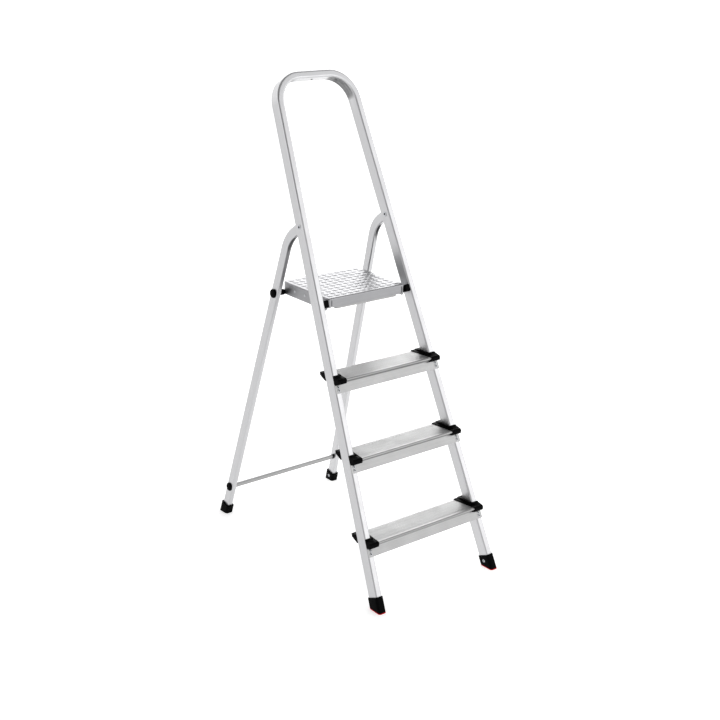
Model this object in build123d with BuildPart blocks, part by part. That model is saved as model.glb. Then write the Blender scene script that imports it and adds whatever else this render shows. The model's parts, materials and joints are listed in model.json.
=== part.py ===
from build123d import *
from math import atan, cos, radians, sin, tan
import os

os.makedirs("parts", exist_ok=True)

# Folding platform step ladder, standing open. Millimetres.
# +X is to the right of a person who climbs it, +Y is to the rear, +Z is up.
# The origin is on the floor, in the middle of the footprint.

# ---------------------------------------------------------------- driving dimensions
HEIGHT = 1300.0
DEPTH = 750.0
WIDTH = 430.0

TUBE_WALL = 1.2

# front frame: one bent tube is both uprights and the hand hoop
FRONT_LEAN = 25.13            # degrees back from the vertical
UPRIGHT_TAPER = 0.0539        # how much each upright comes in per unit of length
FRONT_TUBE_WIDTH = 20.0
FRONT_TUBE_DEPTH = 35.0
FRONT_TUBE_CORNER = 4.5
FRONT_TUBE_END = 22.0         # where the uprights' lower ends are, inside the boots
HOOP_RADIUS = 78.0            # of the bends' centre line
DRAIN_HOLE = 4.0

# rear frame: two legs that bend forward into the uprights at the top
REAR_LEAN = 14.14             # degrees forward from the vertical
LEG_TAPER = 0.0545
LEG_WIDTH = 15.5
LEG_DEPTH = 27.0
LEG_CORNER = 3.5
LEG_END = 9.0
LEG_BEND = 41.0               # degrees
LEG_BEND_RADIUS = 100.0

# top pivot, measured up the front frame
PIVOT_UP = 1027.0
PIVOT_BORE = 6.0
PIVOT_SHANK = 9.0
PIVOT_HEAD = 14.0
PIVOT_HEAD_THICK = 1.2
PIVOT_BUSH_WALL = 2.5
SLOT_ABOVE = 12.5             # the slot in the upright's rear wall, above and below the pivot
SLOT_BELOW = 42.5
SLOT_WIDTH = 17.2

# treads
TREAD_TOPS = {"lower": 171.0, "middle": 370.5, "upper": 561.0}
TREAD_WALL = 2.0
NOSE_OUT = 19.0               # nose tip, in front of the frame at the tread's height
NOSE_RADIUS = 4.0
NOSE_DROP = 13.5              # where the slanted underside of the nose meets the fascia
FASCIA_DROP = 36.0            # bottom of the fascia, below the tread's top
TREAD_BACK = 54.0
REAR_LIP = 14.0
GROOVE_PITCH = 5.0
GROOVE_COUNT = 12
GROOVE_WIDTH = 1.4
GROOVE_DEPTH = 0.5
TREAD_RIVET_SHANK = 4.0
TREAD_RIVET_HEAD = 8.5
TREAD_RIVET_RISE = 1.6
TREAD_RIVET_UP = (6.5, 15.5)  # above the fascia's bottom edge

# tread end caps
CAP_SKIN = 2.0
CAP_FRONT_IN = 30.0           # from the upright's outer face to the cap's inner edge, at the nose
CAP_REAR_IN = 40.0            # and at the tread's rear edge
CAP_FACE = 11.5               # bottom of the cap's upright front face, below the tread's top
COLLAR_RISE = 5.5
COLLAR_THICK = 3.0
RIDGE_RISE = 7.0              # of the ridge beside the upright
RIDGE_THICK = 6.0
CAP_EDGE_BOW = 3.5            # how far the cap's inner edge bows inward
GUSSET_DROP = 15.0
GUSSET_EDGE = 6.0             # height of the gusset's rear edge
GUSSET_BACK = 18.0            # behind the upright's rear face

# feet
FRONT_BOOT_WALL = 2.5
FRONT_BOOT_TOP = 44.5
FRONT_BOOT_CORNER = 6.5
SOLE_THICK = 2.4
REAR_BOOT_WALL = 4.5
REAR_BOOT_TOP = 29.0
REAR_BOOT_CORNER = 7.0
FOOT_RIVET_SHANK = 4.0
FOOT_RIVET_HEAD = 7.5
SMALL_RIVET_RISE = 1.4

# platform
DECK_TOP = 748.0
DECK_HALF_WIDTH = 133.5
DECK_FRONT = -22.0
DECK_REAR = 187.0
DECK_SHEET = 1.5
DECK_FLANGE = 34.0
DECK_FRONT_FLANGE = 26.0
DECK_EDGE_RADIUS = 4.0
DECK_REAR_CORNER = 22.0
DECK_FRONT_CORNER = 8.0
STUD_COLUMNS = 11
STUD_ROWS = 10
STUD_LENGTH = 13.0
STUD_WIDTH = 6.0
STUD_HEIGHT = 0.9
STUD_PITCH_X = 22.5
STUD_PITCH_Y = 19.0
DECK_RIVETS_Y = (80.0, 125.0)
DECK_RIVET = 4.0
DECK_RIVET_HEAD = 7.0
DECK_RIVET_DOWN = 17.0        # from the deck's top
PLATE_THICK = 2.0             # hinge plates inside the side flanges
PLATE_FRONT = 60.0
PLATE_BEND = (142.0, 156.0)   # where they step inward
PLATE_JOGGLE = 8.0            # how far the hinge plates step inward, to clear the rear corners
STIFFENER_HALF_LENGTH = 104.0
STIFFENER_DROP = 31.5
STIFFENER_DEPTH = 16.0

# platform pivot on the rear legs, and the hook pins at the front
DECK_PIVOT_Z = 718.5
DECK_BOLT = 8.0
DECK_BUSH_COLLAR = 16.0
DECK_BUSH_SPIGOT = 11.0
BUSH_SPIGOT_LENGTH = 22.0
DECK_BOLT_HEAD = 13.0
DECK_BOLT_HEAD_HEIGHT = 3.5
NUT_HEIGHT = 6.5
HOOK_PIN = 7.0
HOOK_PIN_BACK = 14.0          # from the deck's front edge
HOOK_PIN_DOWN = 18.0          # from the deck's top
HOOK_PIN_TIP = 138.0
HOOK_EXIT_ANGLE = 71.0        # degrees above the horizontal: the way the pins leave the supports

# crossbar between the rear legs
CROSSBAR_Z = 88.0
CROSSBAR_HEIGHT = 13.0
CROSSBAR_DEPTH = 8.0
CROSSBAR_WALL = 1.2
CROSSBAR_PLUG = 4.0
CROSSBAR_BOLT = 5.0
CROSSBAR_BOLT_HEAD = 10.0
CROSSBAR_BOLT_HEAD_HEIGHT = 3.0
CROSSBAR_CORNER = 3.0

BOLT_CAP = 25.0
BOLT_CAP_HEIGHT = 7.0
BOLT_CAP_HOLLOW = 4.6         # depth of the hollow over the bolt head
HEAD_STAND_OFF = 0.4          # of a bolt head from the leg's face at mid-depth

# platform supports
SUPPORT_HEIGHT = 19.0
SUPPORT_DEPTH = 28.0
SUPPORT_SET_BACK = 0.5
SUPPORT_PEG = 6.0
PEG_LENGTH = 4.0
SLOT_FLARE = 8.0              # degrees the hook slot opens on either side

FRONT_FOOT_RIVET_UP = 29.0
REAR_FOOT_RIVET_UP = 17.0

FIT = 0.05                    # radial clearance of pins and bolts in their holes
GAP = 0.3                     # clearance between fitted pieces

# ---------------------------------------------------------------- lines and planes worked out from them
lean = radians(FRONT_LEAN)
rear_lean = radians(REAR_LEAN)
splay = atan(UPRIGHT_TAPER)
leg_splay = atan(LEG_TAPER)
X_WAY = Vector(1, 0, 0)

front_floor_y = -DEPTH / 2 + FRONT_BOOT_WALL / cos(lean)
up_frame = Vector(0, sin(lean), cos(lean))
frame_front = Plane(origin=(0, front_floor_y, 0), x_dir=X_WAY, z_dir=(0, -cos(lean), sin(lean)))
frame_middle = frame_front.offset(-FRONT_TUBE_DEPTH / 2)
frame_rear = frame_front.offset(-FRONT_TUBE_DEPTH)
floor_half = (
    WIDTH / 2 - FRONT_BOOT_WALL / cos(splay)
    + UPRIGHT_TAPER * (FRONT_BOOT_CORNER - FRONT_BOOT_WALL) * tan(lean)
)
upright_half_width = FRONT_TUBE_WIDTH / 2 / cos(splay)


def outer_x(up):
    """Half-width over the uprights' outer faces, at a length up the frame."""
    return floor_half - UPRIGHT_TAPER * up


def centre_x(up):
    return outer_x(up) - upright_half_width


def inner_x(up):
    return outer_x(up) - 2 * upright_half_width


def up_at(height, behind=0.0):
    """Length up the frame at a height, on the plane that lies this far behind the front face."""
    return (height + behind * sin(lean)) / cos(lean)


def frame_y(height, behind=0.0):
    """Y of that same point."""
    return front_floor_y + up_at(height, behind) * sin(lean) + behind * cos(lean)


def frame_x(drop, out=0.0):
    """How far forward of a tread's origin the frame's front face is, this far below the tread's top."""
    return (out + drop * sin(lean)) / cos(lean)


def upright_plane(up, behind=FRONT_TUBE_DEPTH / 2):
    """Across the right upright: X points outward, Y to the rear and Z up along the tube."""
    outward = X_WAY * cos(splay) + up_frame * sin(splay)
    along = X_WAY * -sin(splay) + up_frame * cos(splay)
    origin = frame_front.from_local_coords(Vector(centre_x(up), up, -behind))
    return Plane(origin=origin, x_dir=outward, z_dir=along)


pivot = frame_front.from_local_coords(Vector(centre_x(PIVOT_UP), PIVOT_UP, -FRONT_TUBE_DEPTH / 2))

leg_floor_y = DEPTH / 2 - (LEG_DEPTH / 2 + REAR_BOOT_WALL) / cos(rear_lean)
leg_rearward = Vector(0, cos(rear_lean), sin(rear_lean))
leg_up = Vector(-sin(leg_splay), -cos(leg_splay) * sin(rear_lean), cos(leg_splay) * cos(rear_lean))
leg_outward = leg_rearward.cross(leg_up)
# where the pivot is, seen from the leg: forward of its centre line, and up along it
pivot_forward = (leg_floor_y - pivot.Y) * cos(rear_lean) - pivot.Z * sin(rear_lean)
pivot_along = ((leg_floor_y - pivot.Y) * sin(rear_lean) + pivot.Z * cos(rear_lean)) / cos(leg_splay)
leg_floor = Vector(pivot.X + pivot_along * sin(leg_splay), leg_floor_y, 0)
leg_side = Plane(origin=leg_floor, x_dir=leg_rearward, z_dir=leg_outward)
bend_corner = pivot_along - pivot_forward / tan(radians(LEG_BEND))


def leg_plane(along):
    """Across the right rear leg: X points outward, Y to the rear and Z up along the tube."""
    return Plane(origin=leg_floor + leg_up * along, x_dir=leg_outward, z_dir=leg_up)


def along_leg(height):
    return height / (cos(leg_splay) * cos(rear_lean))


def leg_centre(height):
    return leg_floor + leg_up * along_leg(height)


def leg_face_x(height, side):
    """X of the leg's outer (+1) or inner (-1) face, at mid-depth."""
    return leg_centre(height).X + side * LEG_WIDTH / 2 / cos(leg_splay)


def across(y, z, x=0.0):
    """A plane whose Z runs along +X through this point."""
    return Plane(origin=(x, y, z), x_dir=(0, 1, 0), z_dir=(1, 0, 0))


deck_pivot = leg_centre(DECK_PIVOT_Z)
hook_pin_y = DECK_FRONT + HOOK_PIN_BACK
hook_pin_z = DECK_TOP - HOOK_PIN_DOWN
crossbar_centre = leg_centre(CROSSBAR_Z)


def tread_rivet_ups(top):
    bottom = up_at(top - FASCIA_DROP)
    return [bottom + rise for rise in TREAD_RIVET_UP]


def both_sides(plane):
    """The plane and its mirror image on the ladder's other side."""
    start, across_way, out_way = plane.origin, plane.x_dir, plane.z_dir
    mirrored = Plane(
        origin=(-start.X, start.Y, start.Z),
        x_dir=(-across_way.X, across_way.Y, across_way.Z),
        z_dir=(-out_way.X, out_way.Y, out_way.Z),
    )
    return plane, mirrored


def inward(plane):
    """The same place, with Z pointing to the ladder's middle."""
    return Plane(origin=plane.origin, x_dir=plane.y_dir, z_dir=-plane.x_dir)


def fascia_plane(up):
    """On the front of the right-hand end of a fascia, over the middle of the upright."""
    origin = frame_front.from_local_coords(Vector(centre_x(up), up, TREAD_WALL + FIT))
    return Plane(origin=origin, x_dir=X_WAY, z_dir=frame_front.z_dir)


foot_section = upright_plane(FRONT_FOOT_RIVET_UP)
front_foot_rivet = inward(
    Plane(
        origin=foot_section.origin - foot_section.x_dir * (FRONT_TUBE_WIDTH / 2 + FRONT_BOOT_WALL),
        x_dir=foot_section.x_dir, z_dir=foot_section.z_dir,
    )
)
foot_section = leg_plane(REAR_FOOT_RIVET_UP)
rear_foot_rivet = inward(
    Plane(
        origin=foot_section.origin - foot_section.x_dir * (LEG_WIDTH / 2 + REAR_BOOT_WALL),
        x_dir=foot_section.x_dir, z_dir=foot_section.z_dir,
    )
)
support_up = up_at(hook_pin_z, FRONT_TUBE_DEPTH / 2)
support_section = upright_plane(support_up)
support_peg = inward(
    Plane(
        origin=support_section.origin - support_section.x_dir * (FRONT_TUBE_WIDTH / 2 + FIT),
        x_dir=support_section.x_dir, z_dir=support_section.z_dir,
    )
)


# ---------------------------------------------------------------- front frame tube
with BuildPart() as front_frame_tube:
    hoop_top = (HEIGHT + FRONT_TUBE_CORNER * (cos(lean) + sin(lean) - 1)) / cos(lean)
    hoop_line = hoop_top - FRONT_TUBE_WIDTH / 2
    with BuildLine(frame_middle) as tube_line:
        FilletPolyline(
            (-centre_x(FRONT_TUBE_END), FRONT_TUBE_END),
            (-centre_x(hoop_line), hoop_line),
            (centre_x(hoop_line), hoop_line),
            (centre_x(FRONT_TUBE_END), FRONT_TUBE_END),
            radius=HOOP_RADIUS,
        )
    tube_start = Plane(origin=tube_line.line @ 0, x_dir=frame_front.z_dir, z_dir=tube_line.line % 0)
    with BuildSketch(tube_start):
        RectangleRounded(FRONT_TUBE_DEPTH, FRONT_TUBE_WIDTH, FRONT_TUBE_CORNER)
        RectangleRounded(
            FRONT_TUBE_DEPTH - 2 * TUBE_WALL, FRONT_TUBE_WIDTH - 2 * TUBE_WALL,
            FRONT_TUBE_CORNER - TUBE_WALL, mode=Mode.SUBTRACT,
        )
    sweep()
    # pivot holes, with flat seats for the rivet heads on both faces of each upright
    with Locations(across(pivot.Y, pivot.Z)):
        Cylinder(PIVOT_SHANK / 2 + FIT, WIDTH, mode=Mode.SUBTRACT)
    for face in (-1, 1):
        seat = across(pivot.Y, pivot.Z, pivot.X + face * (upright_half_width + PIVOT_HEAD_THICK))
        with Locations(*both_sides(seat)):
            Cylinder(PIVOT_HEAD / 2 + GAP, 2 * PIVOT_HEAD_THICK, mode=Mode.SUBTRACT)
    # slots in the rear walls that the legs pass through
    slot_up = PIVOT_UP + (SLOT_ABOVE - SLOT_BELOW) / 2
    for slot in both_sides(upright_plane(slot_up, FRONT_TUBE_DEPTH)):
        with BuildSketch(Plane(origin=slot.origin, x_dir=slot.x_dir, z_dir=-frame_front.z_dir)):
            RectangleRounded(SLOT_WIDTH, SLOT_ABOVE + SLOT_BELOW, 3)
        extrude(amount=FRONT_TUBE_CORNER, both=True, mode=Mode.SUBTRACT)
    # rivet holes for the treads, in the front walls
    for top in TREAD_TOPS.values():
        for up in tread_rivet_ups(top):
            with Locations(*both_sides(fascia_plane(up))):
                Cylinder(
                    TREAD_RIVET_SHANK / 2 + FIT, 2 * (TREAD_WALL + 2 * TUBE_WALL), mode=Mode.SUBTRACT
                )
    # peg holes for the platform supports and rivet holes for the boots, in the inner walls
    with Locations(*both_sides(support_peg)):
        Cylinder(SUPPORT_PEG / 2 + FIT, 4 * PEG_LENGTH, mode=Mode.SUBTRACT)
    with Locations(*both_sides(front_foot_rivet)):
        Cylinder(FOOT_RIVET_SHANK / 2 + FIT, FRONT_TUBE_WIDTH / 2, mode=Mode.SUBTRACT)
    # drain hole in the underside of the hoop
    with Locations(frame_middle.offset(0)):
        with Locations((0, hoop_line - FRONT_TUBE_WIDTH / 2, 0)):
            Cylinder(DRAIN_HOLE / 2, FRONT_TUBE_WIDTH / 2, rotation=(90, 0, 0), mode=Mode.SUBTRACT)
front_frame_tube.part.label = "front_frame_tube"
export_step(front_frame_tube.part, "parts/front_frame_tube.step")

# the space that the uprights take, for cutting the pieces that fit round them
with BuildPart() as upright_space:
    with BuildSketch(frame_front.offset(FIT)):
        for side in (-1, 1):
            with BuildLine():
                Polyline(
                    (side * (inner_x(0) - GAP), 0), (side * (outer_x(0) + FIT), 0),
                    (side * (outer_x(PIVOT_UP) + FIT), PIVOT_UP),
                    (side * (inner_x(PIVOT_UP) - GAP), PIVOT_UP),
                    close=True,
                )
            make_face()
    extrude(amount=-(FRONT_TUBE_DEPTH + GAP))
# and everything outside their outer faces
with BuildPart() as outside_space:
    with BuildSketch(frame_front.offset(FRONT_TUBE_DEPTH)):
        for side in (-1, 1):
            with BuildLine():
                Polyline(
                    (side * outer_x(0), 0), (side * WIDTH, 0),
                    (side * WIDTH, PIVOT_UP), (side * outer_x(PIVOT_UP), PIVOT_UP), close=True,
                )
            make_face()
    extrude(amount=-4 * FRONT_TUBE_DEPTH)

# ---------------------------------------------------------------- treads, their end caps and rivets
for level, top in TREAD_TOPS.items():
    top_up = up_at(top)
    # seen from the side: X runs forward from the frame's front face, Y is up from the tread's top
    side_view = Plane(origin=(0, frame_y(top), top), x_dir=(0, -1, 0), z_dir=(-1, 0, 0))
    nose_x = NOSE_OUT - NOSE_RADIUS
    arc_middle = NOSE_RADIUS * sin(radians(45))
    outer_face_x = outer_x(top_up)

    with BuildPart() as tread:
        with BuildSketch(side_view):
            with BuildLine():
                Line((-TREAD_BACK, 0), (nose_x, 0))
                ThreePointArc(
                    (nose_x, 0), (nose_x + arc_middle, arc_middle - NOSE_RADIUS), (NOSE_OUT, -NOSE_RADIUS)
                )
                Polyline(
                    (NOSE_OUT, -NOSE_RADIUS),
                    (frame_x(NOSE_DROP, TREAD_WALL), -NOSE_DROP),
                    (frame_x(FASCIA_DROP, TREAD_WALL), -FASCIA_DROP),
                    (frame_x(FASCIA_DROP, FIT), -FASCIA_DROP),
                    (frame_x(TREAD_WALL, FIT), -TREAD_WALL),
                    (TREAD_WALL - TREAD_BACK, -TREAD_WALL),
                    (TREAD_WALL - TREAD_BACK, -REAR_LIP),
                    (-TREAD_BACK, -REAR_LIP),
                    (-TREAD_BACK, 0),
                )
            make_face()
            # hollow of the nose
            with BuildLine():
                hollow_drop = NOSE_DROP - 1.65 * TREAD_WALL
                Polyline(
                    (frame_x(TREAD_WALL, 2 * TREAD_WALL), -TREAD_WALL),
                    (nose_x, -TREAD_WALL),
                    (NOSE_OUT - 1.5 * TREAD_WALL, -NOSE_RADIUS),
                    (frame_x(hollow_drop, 2 * TREAD_WALL), -hollow_drop),
                    close=True,
                )
            make_face(mode=Mode.SUBTRACT)
            # stiffening rib under the plate, and the grooves along its top
            with Locations((-TREAD_BACK / 2, -TREAD_WALL)):
                Rectangle(TREAD_WALL, 3 * TREAD_WALL, align=(Align.CENTER, Align.MAX))
            groove_middle = (nose_x - TREAD_BACK) / 2
            with Locations((groove_middle, 0)):
                with GridLocations(GROOVE_PITCH, 0, GROOVE_COUNT, 1):
                    Rectangle(GROOVE_WIDTH, 2 * GROOVE_DEPTH, mode=Mode.SUBTRACT)
        extrude(amount=WIDTH / 2, both=True)
        add(upright_space.part, mode=Mode.SUBTRACT)
        add(outside_space.part, mode=Mode.SUBTRACT)
        # the plate fits between the uprights, and the nose ends inside the caps
        for side in (-1, 1):
            with BuildSketch(frame_rear):
                with Locations((side * (inner_x(top_up) - GAP), top_up)):
                    Rectangle(WIDTH, WIDTH / 4, align=(Align.MIN if side > 0 else Align.MAX, Align.CENTER))
            extrude(amount=-WIDTH, mode=Mode.SUBTRACT)
            nose_end = Plane(origin=(side * (outer_face_x - CAP_SKIN - 1), frame_y(top), top + CAP_SKIN))
            with Locations(nose_end):
                Box(
                    WIDTH, 3 * NOSE_OUT, CAP_SKIN + NOSE_DROP + GAP,
                    align=(Align.MIN if side > 0 else Align.MAX, Align.CENTER, Align.MAX), mode=Mode.SUBTRACT,
                )
        for up in tread_rivet_ups(top):
            with Locations(*both_sides(fascia_plane(up))):
                Cylinder(TREAD_RIVET_SHANK / 2 + FIT, 3 * TREAD_WALL, mode=Mode.SUBTRACT)
    tread.part.label = f"step_tread_{level}"
    export_step(tread.part, f"parts/step_tread_{level}.step")

    with BuildPart() as tread_cap_right:
        # block round the nose, with the collar that stands up in front of the upright
        cap_side = Plane(origin=(outer_face_x + 1, frame_y(top), top), x_dir=(0, -1, 0), z_dir=(-1, 0, 0))
        with BuildSketch(cap_side):
            with BuildLine():
                cap_drop = NOSE_DROP + 0.92 * CAP_SKIN
                cap_arc = (NOSE_RADIUS + CAP_SKIN) * sin(radians(45))
                Line((FIT, CAP_SKIN), (nose_x, CAP_SKIN))
                ThreePointArc(
                    (nose_x, CAP_SKIN), (nose_x + cap_arc, cap_arc - NOSE_RADIUS),
                    (NOSE_OUT + CAP_SKIN, -NOSE_RADIUS),
                )
                Polyline(
                    (NOSE_OUT + CAP_SKIN, -NOSE_RADIUS),
                    (NOSE_OUT + CAP_SKIN - 1, -CAP_FACE),
                    (frame_x(cap_drop, TREAD_WALL + FIT), -cap_drop),
                    (frame_x(NOSE_DROP, TREAD_WALL + FIT), -NOSE_DROP),
                    (frame_x(NOSE_DROP, FIT), -NOSE_DROP),
                    (FIT, CAP_SKIN),
                )
            make_face()
        extrude(amount=CAP_FRONT_IN + 1)
        with BuildSketch(cap_side):
            with BuildLine():
                collar_top_x = -COLLAR_RISE * tan(lean)
                Polyline(
                    (0, 0), (collar_top_x + FIT, COLLAR_RISE), (collar_top_x + COLLAR_THICK, COLLAR_RISE),
                    (nose_x, CAP_SKIN), (nose_x, 0), (0, 0),
                )
            make_face()
        extrude(amount=FRONT_TUBE_WIDTH + 1)
        # ridge beside the upright
        with BuildSketch(cap_side):
            with BuildLine():
                Polyline(
                    (collar_top_x + COLLAR_THICK, 0), (collar_top_x + COLLAR_THICK, RIDGE_RISE),
                    (-FRONT_TUBE_DEPTH / cos(lean), RIDGE_RISE), (-TREAD_BACK, CAP_SKIN), (-TREAD_BACK, 0),
                    close=True,
                )
            make_face()
        extrude(amount=FRONT_TUBE_WIDTH + 1 + RIDGE_THICK)
        # skin over the end of the plate, which widens to the rear
        with BuildSketch(Plane.XY.offset(top + CAP_SKIN)):
            with BuildLine():
                rear_y = frame_y(top) + TREAD_BACK + CAP_SKIN
                front_y = frame_y(top) - nose_x
                skin_start = (outer_face_x - CAP_FRONT_IN, front_y)
                skin_middle = (
                    outer_face_x - CAP_FRONT_IN - CAP_EDGE_BOW, (front_y + rear_y) / 2 - 2 * CAP_EDGE_BOW
                )
                skin_end = (outer_face_x - CAP_REAR_IN, rear_y)
                Spline(skin_start, skin_middle, skin_end)
                Polyline(skin_end, (outer_face_x + 1, rear_y), (outer_face_x + 1, front_y), skin_start)
            make_face()
        extrude(amount=-(2 * CAP_SKIN + TREAD_WALL))
        # gusset behind the upright
        with BuildSketch(cap_side):
            with BuildLine():
                rear_face = FRONT_TUBE_DEPTH + GAP
                Polyline(
                    (frame_x(-CAP_SKIN, -rear_face), CAP_SKIN),
                    (frame_x(-CAP_SKIN, -FRONT_TUBE_DEPTH - GUSSET_BACK), CAP_SKIN),
                    (frame_x(GUSSET_EDGE, -FRONT_TUBE_DEPTH - GUSSET_BACK), -GUSSET_EDGE),
                    (frame_x(GUSSET_DROP, -rear_face - 1.5), -GUSSET_DROP),
                    (frame_x(GUSSET_DROP, -rear_face), -GUSSET_DROP),
                    (frame_x(-CAP_SKIN, -rear_face), CAP_SKIN),
                )
            make_face()
        extrude(amount=FRONT_TUBE_WIDTH + 4)
        add(upright_space.part, mode=Mode.SUBTRACT)
        add(outside_space.part, mode=Mode.SUBTRACT)
        # nothing of the cap reaches further back than the gusset, behind the upright
        with Locations(frame_rear.offset(-GUSSET_BACK)):
            with Locations((outer_face_x, top_up, 0)):
                Box(
                    2 * FRONT_TUBE_WIDTH + 2, 6 * FRONT_TUBE_WIDTH, FRONT_TUBE_DEPTH,
                    align=(Align.CENTER, Align.CENTER, Align.MAX), mode=Mode.SUBTRACT,
                )
        add(tread.part, mode=Mode.SUBTRACT)
    cap_body = tread_cap_right.part.solids().sort_by(SortBy.VOLUME)[-1]
    with BuildPart() as cap_right:
        add(cap_body)
    cap_right.part.label = f"step_cap_{level}_right"
    export_step(cap_right.part, f"parts/step_cap_{level}_right.step")
    with BuildPart() as cap_left:
        mirror(cap_body, about=Plane.YZ)
    cap_left.part.label = f"step_cap_{level}_left"
    export_step(cap_left.part, f"parts/step_cap_{level}_left.step")

    with BuildPart() as tread_rivets:
        for up in tread_rivet_ups(top):
            with Locations(*both_sides(fascia_plane(up))):
                Cone(
                    TREAD_RIVET_HEAD / 2, TREAD_RIVET_HEAD / 4, TREAD_RIVET_RISE,
                    align=(Align.CENTER, Align.CENTER, Align.MIN),
                )
                Cylinder(
                    TREAD_RIVET_SHANK / 2, TREAD_WALL + TUBE_WALL + 1,
                    align=(Align.CENTER, Align.CENTER, Align.MAX),
                )
    tread_rivets.part.label = f"step_rivets_{level}"
    export_step(tread_rivets.part, f"parts/step_rivets_{level}.step")

# ---------------------------------------------------------------- front feet
with BuildPart() as front_boot_block:
    with BuildSketch(upright_plane(-SOLE_THICK * 4)):
        RectangleRounded(
            FRONT_TUBE_WIDTH + 2 * FRONT_BOOT_WALL, FRONT_TUBE_DEPTH + 2 * FRONT_BOOT_WALL, FRONT_BOOT_CORNER
        )
    extrude(amount=FRONT_BOOT_TOP + SOLE_THICK * 4)
with BuildPart() as front_foot_right:
    add(front_boot_block.part)
    with BuildSketch(upright_plane(FRONT_TUBE_END)):
        RectangleRounded(FRONT_TUBE_WIDTH + 2 * FIT, FRONT_TUBE_DEPTH + 2 * FIT, FRONT_TUBE_CORNER)
    extrude(amount=FRONT_BOOT_TOP, mode=Mode.SUBTRACT)
    split(bisect_by=Plane.XY.offset(SOLE_THICK), keep=Keep.TOP)
    with Locations(front_foot_rivet):
        Cylinder(FOOT_RIVET_SHANK / 2 + FIT, FRONT_TUBE_WIDTH, mode=Mode.SUBTRACT)
front_foot_right.part.label = "front_foot_right"
export_step(front_foot_right.part, "parts/front_foot_right.step")
with BuildPart() as front_foot_left:
    mirror(front_foot_right.part, about=Plane.YZ)
front_foot_left.part.label = "front_foot_left"
export_step(front_foot_left.part, "parts/front_foot_left.step")

with BuildPart() as front_foot_sole_right:
    add(front_boot_block.part)
    split(bisect_by=Plane.XY.offset(SOLE_THICK), keep=Keep.BOTTOM)
    split(bisect_by=Plane.XY, keep=Keep.TOP)
front_foot_sole_right.part.label = "front_foot_sole_right"
export_step(front_foot_sole_right.part, "parts/front_foot_sole_right.step")
with BuildPart() as front_foot_sole_left:
    mirror(front_foot_sole_right.part, about=Plane.YZ)
front_foot_sole_left.part.label = "front_foot_sole_left"
export_step(front_foot_sole_left.part, "parts/front_foot_sole_left.step")

with BuildPart() as front_foot_rivets:
    with Locations(*both_sides(front_foot_rivet)):
        Cone(
            FOOT_RIVET_HEAD / 2, FOOT_RIVET_HEAD / 4, SMALL_RIVET_RISE,
            align=(Align.CENTER, Align.CENTER, Align.MIN),
        )
        Cylinder(
            FOOT_RIVET_SHANK / 2, FRONT_BOOT_WALL + TUBE_WALL + 1,
            align=(Align.CENTER, Align.CENTER, Align.MAX),
        )
front_foot_rivets.part.label = "front_foot_rivets"
export_step(front_foot_rivets.part, "parts/front_foot_rivets.step")

# ---------------------------------------------------------------- platform supports: hook seats on the uprights
with BuildPart() as platform_support_right:
    with BuildSketch(frame_front.offset(-SUPPORT_SET_BACK)):
        with BuildLine():
            low, high = support_up - SUPPORT_HEIGHT / 2, support_up + SUPPORT_HEIGHT / 2
            Polyline(
                (DECK_HALF_WIDTH + 1, low), (inner_x(low) - FIT, low),
                (inner_x(high) - FIT, high), (DECK_HALF_WIDTH + 1, high), close=True,
            )
        make_face()
    extrude(amount=-SUPPORT_DEPTH)
    fillet(platform_support_right.edges().filter_by(Axis.X), 2)
    # open slot that the hook pin drops into
    hook_side = Plane(origin=(DECK_HALF_WIDTH, hook_pin_y, hook_pin_z), x_dir=(0, -1, 0), z_dir=(-1, 0, 0))
    with BuildSketch(hook_side):
        Circle(HOOK_PIN / 2 + GAP)
        with Locations(Location((0, 0, 0), HOOK_EXIT_ANGLE)):
            Rectangle(SUPPORT_HEIGHT * 2, HOOK_PIN + 2 * GAP, align=(Align.MIN, Align.CENTER))
        for flare in (-SLOT_FLARE, SLOT_FLARE):
            with Locations(Location((0, 0, 0), HOOK_EXIT_ANGLE + flare)):
                Rectangle(SUPPORT_HEIGHT * 2, HOOK_PIN + GAP, align=(Align.MIN, Align.CENTER))
    extrude(amount=-(HOOK_PIN_TIP - DECK_HALF_WIDTH + 2 * GAP), mode=Mode.SUBTRACT)
    with Locations(support_peg):
        Cylinder(SUPPORT_PEG / 2, PEG_LENGTH, align=(Align.CENTER, Align.CENTER, Align.MAX))
platform_support_right.part.label = "platform_support_right"
export_step(platform_support_right.part, "parts/platform_support_right.step")
with BuildPart() as platform_support_left:
    mirror(platform_support_right.part, about=Plane.YZ)
platform_support_left.part.label = "platform_support_left"
export_step(platform_support_left.part, "parts/platform_support_left.step")

# ---------------------------------------------------------------- top pivots: hollow rivets and bushes
with BuildPart() as top_pivot_rivets:
    with BuildSketch(Plane(origin=(0, pivot.Y, pivot.Z), x_dir=(1, 0, 0), z_dir=(0, -1, 0))):
        with Locations((pivot.X, PIVOT_SHANK / 2)):
            Rectangle(
                2 * upright_half_width + PIVOT_HEAD_THICK, (PIVOT_SHANK - PIVOT_BORE) / 2,
                align=(Align.CENTER, Align.MAX),
            )
        for face in (-1, 1):
            with Locations((pivot.X + face * (upright_half_width + PIVOT_HEAD_THICK / 2), PIVOT_BORE / 2)):
                Rectangle(PIVOT_HEAD_THICK, (PIVOT_HEAD - PIVOT_BORE) / 2, align=(Align.CENTER, Align.MIN))
    revolve(axis=Axis((0, pivot.Y, pivot.Z), (1, 0, 0)))
    mirror(about=Plane.YZ)
top_pivot_rivets.part.label = "top_pivot_rivets"
export_step(top_pivot_rivets.part, "parts/top_pivot_rivets.step")

with BuildPart() as top_pivot_bushes:
    with Locations(*both_sides(across(pivot.Y, pivot.Z, pivot.X))):
        Cylinder(PIVOT_SHANK / 2 + PIVOT_BUSH_WALL, LEG_WIDTH - 2 * TUBE_WALL - 4 * GAP)
        Cylinder(PIVOT_SHANK / 2 + FIT, LEG_WIDTH, mode=Mode.SUBTRACT)
top_pivot_bushes.part.label = "top_pivot_bushes"
export_step(top_pivot_bushes.part, "parts/top_pivot_bushes.step")

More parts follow.
